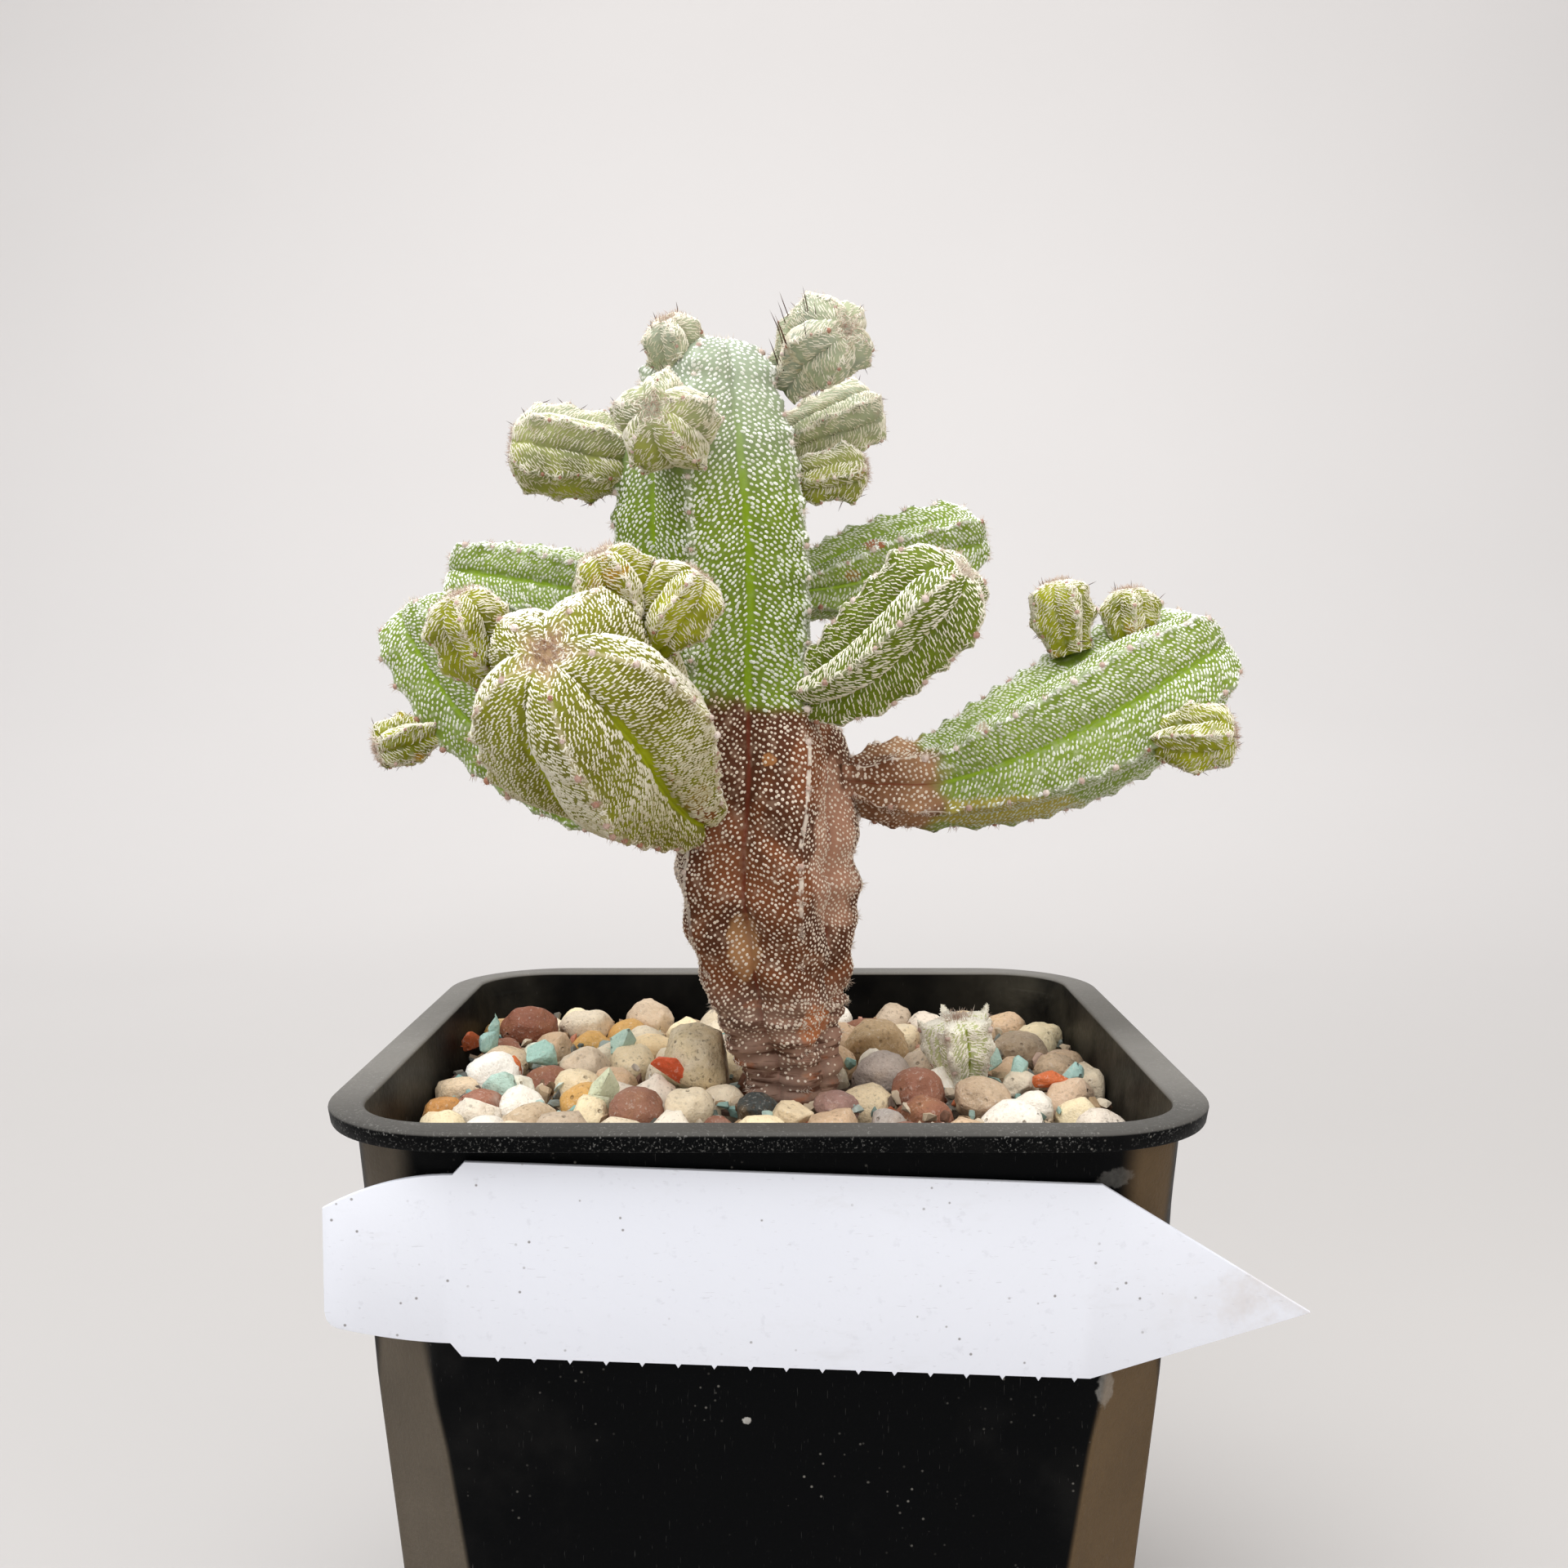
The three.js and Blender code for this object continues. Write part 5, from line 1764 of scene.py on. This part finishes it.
def stone_finish(name):
    """Pebbles: their own tint with a stain, mineral grains and pores, and dark speckles on some."""
    finish = Finish(name)
    tint, stain, speckle = finish.tint("tint"), finish.tint("stain"), finish.value("speckle")
    cloud = finish.noise(0.0024, 4, 0.6)
    fine = finish.noise(0.0005, 3, 0.65)
    base = finish.shade(tint, 0.95 + 0.6 * cloud)
    stained = finish.noise(0.0038, 2, 0.5, warp=0.5).rise(0.42, 0.85) * (0.1 + 0.3 * speckle)
    base = finish.mix(stained, base, stain)
    grains = finish.noise(0.0005, 3, 0.7)
    base = finish.mix(grains.rise(0.54, 0.72) * 0.3, base, "#F4EFE6")
    base = finish.mix(grains.rise(0.46, 0.3) * (0.14 + 0.5 * speckle), base, "#5A4B3C")
    dots = finish.cells(0.0011).rise(0.3, 0.12) * finish.noise(0.0021, 2).rise(0.5, 0.6)
    base = finish.mix(dots * speckle * 0.8, base, "#3F362C")
    pores = finish.cells(0.0016).rise(0.2, 0.08) * finish.noise(0.004, 2).rise(0.46, 0.58)
    base = finish.mix(pores * 0.45, base, "#6E5C48")
    rough = 0.42 + 0.45 * fine
    normal = finish.relief(cloud * 0.5 + fine * 0.5 - pores * 0.6, 0.0005, 0.9)
    return finish.done(base, rough.within(), normal, Specular_IOR_Level=0.35)


def stone_values(count, tint, stain, speckle):
    """A stone's tint, stain and speckle, the same at each of its points."""
    return {
        "tint": np.tile(tint, (count, 1)),
        "stain": np.tile(stain, (count, 1)),
        "speckle": np.full(count, speckle),
    }


def build_gravel(settings):
    rng = np.random.default_rng(STONE_SEED)
    draw = FrameRandom(STONE_SEED + 1)
    finish = stone_finish("pebble")
    fine_ball, coarse_ball = unit_ball(4), unit_ball(3)
    shells = {"gravel_large": Shell(), "gravel_small": Shell()}
    for number, stone in enumerate(stone_places()):
        ball, faces = fine_ball if stone["named"] else coarse_ball
        points = keep_in_pot(stone_shape(stone, draw, ball, settings.roughness / MM, 500 + number))
        tint, speckle = stone_tint(stone, rng)
        stain = colour(STONE_STAINS[rng.integers(len(STONE_STAINS))])
        shell = shells["gravel_large" if number < LARGE_STONES else "gravel_small"]
        shell.add(points, faces, **stone_values(len(points), tint, stain, speckle))
    for name, shell in shells.items():
        place_piece(shell.piece(name, finish), "stones", ["gravel"] if name == "gravel_large" else [])
    build_chips(finish)
    build_bed()
    build_grit(settings)


def build_chips(finish):
    """Sharp chips that stand and lie between the pebbles."""
    shell = Shell()
    for number, (place, size, turn, tilt, roll, tint) in enumerate(CHIPS):
        rng = np.random.default_rng(900 + number)
        scattered = unit(rng.normal(size=(13, 3))) * 0.62
        corners = [*scattered, [0, 0, 0.75], [-0.5, -0.3, -0.6], [0.6, 0.2, -0.6]]
        made = hull(np.array(corners) * np.array(size))
        bmesh.ops.bevel(made, geom=made.edges[:], offset=0.12, segments=2, profile=0.6, affect="EDGES")
        bmesh.ops.recalc_face_normals(made, faces=made.faces)
        points, faces = points_and_faces(made)
        for axis, angle in (("Y", roll), ("X", tilt), ("Z", turn)):
            points = turn_about(points, axis, math.radians(angle))
        values = stone_values(len(points), colour(tint), colour(tint), 0.2)
        shell.add(points + np.array(place), faces, **values)
    place_piece(shell.piece("gravel_chips", finish, math.radians(34)), "stones")


def build_bed():
    """Dark mix that fills the pot under the stones, with an uneven top."""
    shell = Shell()
    steps = np.linspace(0, 1, 26)[1:]
    outline = inner_ring(BED_TOP - 1.6, 0.3)
    rings = [outline * np.array([1, 1, 0]) + np.array([0, 0, MIX_TOP + 0.4])]
    for inward in steps[::-1]:
        ring = outline.copy()
        ring[:, :2] *= inward
        ring[:, 2] = BED_TOP - 1.5 + 0.7 * ripple(ring, 3.2, 77) + 0.35 * ripple(ring, 1.3, 78)
        rings.append(ring)
    points = np.concatenate(rings + [[[0, 0, MIX_TOP + 0.4]], [[0, 0, BED_TOP - 1.6]]])
    shell.add(points, ring_faces(len(rings), len(outline)))
    place_piece(shell.piece("gravel_bed", mix_finish("dark grit bed")), "stones")


def mix_finish(name):
    finish = Finish(name)
    cloud = finish.noise(0.003, 4, 0.6)
    fine = finish.noise(0.0008, 3, 0.6)
    base = finish.mix(cloud, "#241A14", "#5A4636")
    base = finish.mix(fine.rise(0.6, 0.75) * 0.6, base, "#A08A70")
    normal = finish.relief(cloud + fine, 0.0008, 1.0)
    return finish.done(base, 0.8 + 0.2 * fine, normal)


def grit_shape():
    """An angular grain."""
    rng = np.random.default_rng(5)
    made = hull(unit(rng.normal(size=(16, 3))) * rng.uniform(0.42, 0.52, (16, 1)))
    bmesh.ops.recalc_face_normals(made, faces=made.faces)
    return bpy.data.objects.new("grain shape", closed_mesh(made, "grain shape"))


def build_grit(settings):
    """Small angular grains between the stones."""
    rng = np.random.default_rng(settings.seed)
    count = settings.grit
    reach = BASE_HALF + WALL_SLOPE * BED_TOP - WALL - 1.4
    flat = rng.uniform(-reach, reach, (count, 2))
    points = np.column_stack([flat, BED_TOP + rng.uniform(-0.4, 1.3, count)])
    inside = np.abs(points[:, 0]) + np.abs(points[:, 1]) < 2 * reach - 5
    away = np.hypot(points[:, 0] - STEM_AXIS[0], points[:, 1] - STEM_AXIS[1]) > 8
    points = points[inside & away]
    count = len(points)
    places = {
        "points": points,
        "facing": unit(rng.normal(size=(count, 3))),
        "heading": unit(rng.normal(size=(count, 3))),
        "size": rng.uniform(0.6, 1.5, count),
        "tone": rng.uniform(0, 1, count),
    }
    shape = grit_shape()
    piece = scatter("gravel_grit", places, shape, grit_finish(), 2.0, 1.6, 1.3, 0.2, 3)
    drop(shape)
    piece.data.shade_flat()
    place_piece(piece, "stones")


# Tints of the grains, each from its share of them on
GRIT_TINTS = {
    0.0: "#D9CBB4", 0.3: "#A98D6B", 0.48: "#6B4A3A", 0.6: "#8FB8B0",
    0.74: "#C8D6CC", 0.84: "#3C3A38", 0.92: "#B26038", 1.0: "#EDE6D8",
}


def grit_finish():
    finish = Finish("grit")
    settings = {"stops": [(share, colour(code)) for share, code in GRIT_TINTS.items()]}
    tint = finish.node("ShaderNodeValToRGB", settings, {0: finish.value("tone")}, "Color")
    cloud = finish.noise(0.0012, 3, 0.6)
    base = finish.shade(tint, 0.75 + 0.45 * cloud)
    normal = finish.relief(cloud, 0.0002, 0.8)
    return finish.done(base, 0.6 + 0.3 * cloud, normal)


# Label

LABEL_THICKNESS = 0.6
LABEL_HALF_HEIGHT = 10.4
LABEL_TILT = -2.15
LABEL_CENTRE = (1.0, 76.9)
NUB_PITCH = 3.7
NUB_SIZE = 0.45
CLEARANCE = 0.35
CURVE_STEPS = 14


def curve_points(start, middle, end):
    share = np.arange(1, CURVE_STEPS + 1)[:, None] / CURVE_STEPS
    start, middle, end = (np.array(p, float) for p in (start, middle, end))
    return (1 - share) ** 2 * start + 2 * share * (1 - share) * middle + share**2 * end


def label_outline():
    """A rounded head with shoulders at the left, a point at the right, and small nubs below."""
    h, shoulder, point = LABEL_HALF_HEIGHT, -32.0, 32.5
    rows = [(shoulder, h), (shoulder - 1.2, h - 1.4)]
    rows += [tuple(p) for p in curve_points((shoulder - 1.2, h - 1.4), (-40, h - 1.6), (-46.3, h - 5.4))]
    rows += [(-46.1, -h + 4.4), (-45.9, -h + 3.5), (-45.4, -h + 2.9), (-44.8, -h + 2.6)]
    rows += [tuple(p) for p in curve_points((-44.8, -h + 2.6), (-39, -h + 1.4), (shoulder - 1.2, -h + 1.4))]
    rows.append((shoulder, -h))
    x = shoulder + NUB_PITCH
    while x < point - 1:
        rows += [(x - 0.3, -h), (x, -h - NUB_SIZE), (x + 0.3, -h)]
        x += NUB_PITCH
    rows += [(point, -h), (54.6, -2.4), (point, h)]
    return rows


def label_finish(settings):
    finish = Finish("label plastic")
    cloud = finish.noise(0.03, 3, 0.5)
    fine = finish.noise(0.0012, 3, 0.6)
    base = finish.mix(cloud * 0.35, tuple(settings.plastic), "#EEF0F4")
    dirt = finish.axis("X").rise(0.036, 0.055) * finish.noise(0.006, 4, 0.65).rise(0.45, 0.75)
    base = finish.mix(dirt * 0.4, base, "#B7A48F")
    smudge = finish.noise(0.012, 4, 0.7, at=finish.stretched(1, 1, 2.4)).rise(0.6, 0.8)
    base = finish.mix(smudge * 0.16, base, "#A9A49C")
    specks = finish.cells(0.0017).rise(0.12, 0.05) * finish.noise(0.006, 2).rise(0.5, 0.6)
    base = finish.mix(specks * 0.75, base, "#5B5148")
    base = finish.mix(fine.rise(0.6, 0.75) * 0.16, base, "#A9AAB4")
    marks = finish.noise(0.0011, 1, 0.5, at=finish.stretched(1, 1, 5)).rise(0.7, 0.78)
    base = finish.mix(marks * 0.2, base, "#8F8C92")
    rough = 0.38 + 0.14 * fine + 0.2 * smudge
    normal = finish.relief(fine * 0.4 + finish.noise(0.02, 2), 0.00012, 0.5)
    return finish.done(base, rough.within(), normal)


def build_label(settings):
    outline = label_outline()
    made = bmesh.new()
    made.faces.new([made.verts.new((x, y, 0)) for x, y in outline])
    back = bmesh.ops.extrude_face_region(made, geom=made.faces[:])
    raised = [v for v in back["geom"] if isinstance(v, bmesh.types.BMVert)]
    bmesh.ops.translate(made, verts=raised, vec=(0, 0, LABEL_THICKNESS))
    bmesh.ops.recalc_face_normals(made, faces=made.faces)
    rim = [e for e in made.edges if abs(e.verts[0].co.z - e.verts[1].co.z) < 1e-6]
    bmesh.ops.bevel(made, geom=rim, offset=settings.bevel / MM, segments=2, profile=0.5, affect="EDGES")
    bmesh.ops.triangulate(made, faces=[f for f in made.faces if len(f.verts) > 4])
    wall_angle = math.atan(WALL_SLOPE)
    wall_half = BASE_HALF + WALL_SLOPE * LABEL_CENTRE[1]
    place = (
        Matrix.Translation((LABEL_CENTRE[0], -wall_half - CLEARANCE, LABEL_CENTRE[1]))
        @ Matrix.Rotation(math.pi / 2 + wall_angle, 4, "X")
        @ Matrix.Rotation(math.radians(LABEL_TILT), 4, "Z")
    )
    bmesh.ops.transform(made, matrix=Matrix.Scale(MM, 4) @ place, verts=made.verts)
    label = mesh_piece("label_plate", closed_mesh(made, "label"), label_finish(settings), math.radians(30))
    place_piece(label, "label_plastic", ["plant_label"])


# Stage


def backdrop_finish(settings):
    finish = Finish("pale wall")
    cloud = finish.noise(0.32, 3, 0.5, warp=0.5)
    # Painted shade: the floor near the pot is a darker grey than the wall, to hold down the key light on it
    near = finish.axis("Y").rise(0.95, 0.15)
    plain_tint = finish.mix(near, tuple(settings.backdrop), tuple(settings.floor))
    # Painted shade: the lower wall and the curve a little darker, against the bright band where floor meets
    # wall
    low = finish.axis("Z").rise(0.45, 0.05) * (1.0 - near)
    warm = finish.shade(plain_tint, 1.0 - 0.05 * cloud - 0.06 * low)
    return finish.done(warm, 0.85 + 0.1 * finish.noise(0.05, 2), None)


def build_sweep(settings):
    """A floor that curves up into the wall behind."""
    profile = [(-1.6, 0.0), (-0.5, 0.0), (0.3, 0.0)]
    start, radius = 0.55, 0.75
    profile += [
        (start + radius * math.sin(a), radius - radius * math.cos(a)) for a in np.linspace(0, math.pi / 2, 26)
    ]
    profile += [(start + radius, 1.4), (start + radius, 2.2)]
    shell = Shell()
    widths = np.linspace(-2.6, 2.6, 9)
    points = [(x, y, z) for y, z in profile for x in widths]
    across = len(widths)
    faces = []
    for row in range(len(profile) - 1):
        for i in range(across - 1):
            a = row * across + i
            faces.append((a, a + 1, a + across + 1, a + across))
    shell.add(np.array(points) / MM, faces)
    sweep = shell.piece("floor_sweep", backdrop_finish(settings))


def add_area(name, place, target, size, power, tint=(1, 1, 1)):
    light = bpy.data.lights.new(name, "AREA")
    light.shape = "SQUARE"
    light.size = size
    light.energy = power
    light.color = tint
    lamp = bpy.data.objects.new(name, light)
    lamp.location = place
    lamp.rotation_euler = (Vector(target) - Vector(place)).to_track_quat("-Z", "Y").to_euler()
    bpy.context.scene.collection.objects.link(lamp)


# The camera that was fitted to the photo, in millimetres
CAMERA_PLACE = (1.653, -208.573, 136.688)

COOL, WARM = (0.985, 0.99, 1.0), (1.0, 0.93, 0.84)


def build_stage(settings):
    scene = bpy.context.scene
    build_sweep(settings)
    add_area("key light", (-0.22, -0.25, 0.95), (0, 0, 0.11), 0.8, settings.key_power, COOL)
    add_area("front fill", (-0.35, -0.95, 0.4), (0, 0, 0.1), 0.8, settings.fill_power)
    add_area("warm side light", (0.75, -0.55, 0.34), (0, 0, 0.1), 0.6, settings.side_power, WARM)
    add_area("wall light", (0, 0.15, 1.3), (0, 1.3, 0.5), 0.9, settings.wall_power)
    world = bpy.data.worlds.new("even sky")
    world.use_nodes = True
    sky = world.node_tree.nodes["Background"]
    sky.inputs["Color"].default_value = (1.0, 0.996, 0.99, 1)
    sky.inputs["Strength"].default_value = settings.sky
    scene.world = world
    scene.view_settings.view_transform = "Standard"
    scene.view_settings.look = "None"
    lens = bpy.data.cameras.new("camera")
    lens.lens = settings.lens
    lens.sensor_width = 36
    lens.sensor_fit = "HORIZONTAL"
    lens.clip_start = 0.01
    lens.clip_end = 20
    camera = bpy.data.objects.new("camera", lens)
    camera.location = tuple(MM * value for value in CAMERA_PLACE)
    camera.rotation_euler = (math.pi / 2 - settings.pitch, 0, 0)
    scene.collection.objects.link(camera)
    scene.camera = camera


# Operators

PLANT_TOOLS = {}


def plant_tools(context):
    """The plant's finishes and small shapes, made once for all stems."""
    if not PLANT_TOOLS:
        PLANT_TOOLS["finishes"] = plant_finishes(context.scene.cactus_stems)
        PLANT_TOOLS["shapes"] = Shapes()
    return PLANT_TOOLS["finishes"], PLANT_TOOLS["shapes"]


class CACTUS_OT_stage(bpy.types.Operator):
    """Build the floor, the lights and the camera."""

    bl_idname = "cactus.build_stage"
    bl_label = "Build stage"

    def execute(self, context):
        build_stage(context.scene.cactus_stage)
        return {"FINISHED"}


class CACTUS_OT_main_stem(bpy.types.Operator):
    """Build the main stem with its corky foot and its pups."""

    bl_idname = "cactus.build_main_stem"
    bl_label = "Build main stem"

    def execute(self, context):
        finishes, shapes = plant_tools(context)
        build_stem("main_stem", MAIN_STEM, finishes, shapes, 1000)
        return {"FINISHED"}


class CACTUS_OT_branches(bpy.types.Operator):
    """Build the six side stems with their pups."""

    bl_idname = "cactus.build_branches"
    bl_label = "Build side stems"

    def execute(self, context):
        finishes, shapes = plant_tools(context)
        for number, (node, spec) in enumerate(BRANCHES.items()):
            build_stem(node, spec, finishes, shapes, 2000 + 200 * number)
        return {"FINISHED"}


class CACTUS_OT_fallen_pup(bpy.types.Operator):
    """Build the pup that has fallen on the gravel."""

    bl_idname = "cactus.build_fallen_pup"
    bl_label = "Build fallen pup"

    def execute(self, context):
        finishes, shapes = plant_tools(context)
        build_stem("fallen_pup", FALLEN_PUP, finishes, shapes, 4000)
        return {"FINISHED"}


class CACTUS_OT_pot(bpy.types.Operator):
    """Build the square pot and finish the potting mix in it."""

    bl_idname = "cactus.build_pot"
    bl_label = "Build pot"

    def execute(self, context):
        build_pot(context.scene.cactus_pot)
        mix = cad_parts["potting_mix"]
        mix.data.materials.clear()
        mix.data.materials.append(mix_finish("potting mix"))
        return {"FINISHED"}


class CACTUS_OT_gravel(bpy.types.Operator):
    """Build the stones, the grit between them and the dark bed."""

    bl_idname = "cactus.build_gravel"
    bl_label = "Build gravel"

    def execute(self, context):
        build_gravel(context.scene.cactus_gravel)
        return {"FINISHED"}


class CACTUS_OT_label(bpy.types.Operator):
    """Build the bare plant label."""

    bl_idname = "cactus.build_label"
    bl_label = "Build label"

    def execute(self, context):
        build_label(context.scene.cactus_label)
        return {"FINISHED"}


OPERATORS = (
    CACTUS_OT_stage,
    CACTUS_OT_pot,
    CACTUS_OT_gravel,
    CACTUS_OT_main_stem,
    CACTUS_OT_branches,
    CACTUS_OT_fallen_pup,
    CACTUS_OT_label,
)

SETTINGS = {
    "cactus_pot": PotSettings,
    "cactus_gravel": GravelSettings,
    "cactus_stems": StemSettings,
    "cactus_label": LabelSettings,
    "cactus_stage": StageSettings,
}


class CACTUS_PT_panel(bpy.types.Panel):
    """Lists the pieces of the potted cactus and their settings."""

    bl_idname = "CACTUS_PT_panel"
    bl_label = "Potted cactus"
    bl_space_type = "VIEW_3D"
    bl_region_type = "UI"
    bl_category = "Cactus"

    def draw(self, context):
        for name in SETTINGS:
            group = getattr(context.scene, name)
            box = self.layout.box()
            for key in group.bl_rna.properties.keys():
                if key not in ("rna_type", "name"):
                    box.prop(group, key)
        for operator in OPERATORS:
            self.layout.operator(operator.bl_idname)


def register():
    for group in SETTINGS.values():
        bpy.utils.register_class(group)
    for name, group in SETTINGS.items():
        setattr(bpy.types.Scene, name, bpy.props.PointerProperty(type=group))
    for operator in OPERATORS:
        bpy.utils.register_class(operator)
    bpy.utils.register_class(CACTUS_PT_panel)


def unregister():
    bpy.utils.unregister_class(CACTUS_PT_panel)
    for operator in reversed(OPERATORS):
        bpy.utils.unregister_class(operator)
    for name in SETTINGS:
        delattr(bpy.types.Scene, name)
    for group in reversed(list(SETTINGS.values())):
        bpy.utils.unregister_class(group)


def main():
    register()
    for operator in OPERATORS:
        area, action = operator.bl_idname.split(".")
        getattr(getattr(bpy.ops, area), action)()
    PLANT_TOOLS["shapes"].clear()


if __name__ == "__main__":
    main()
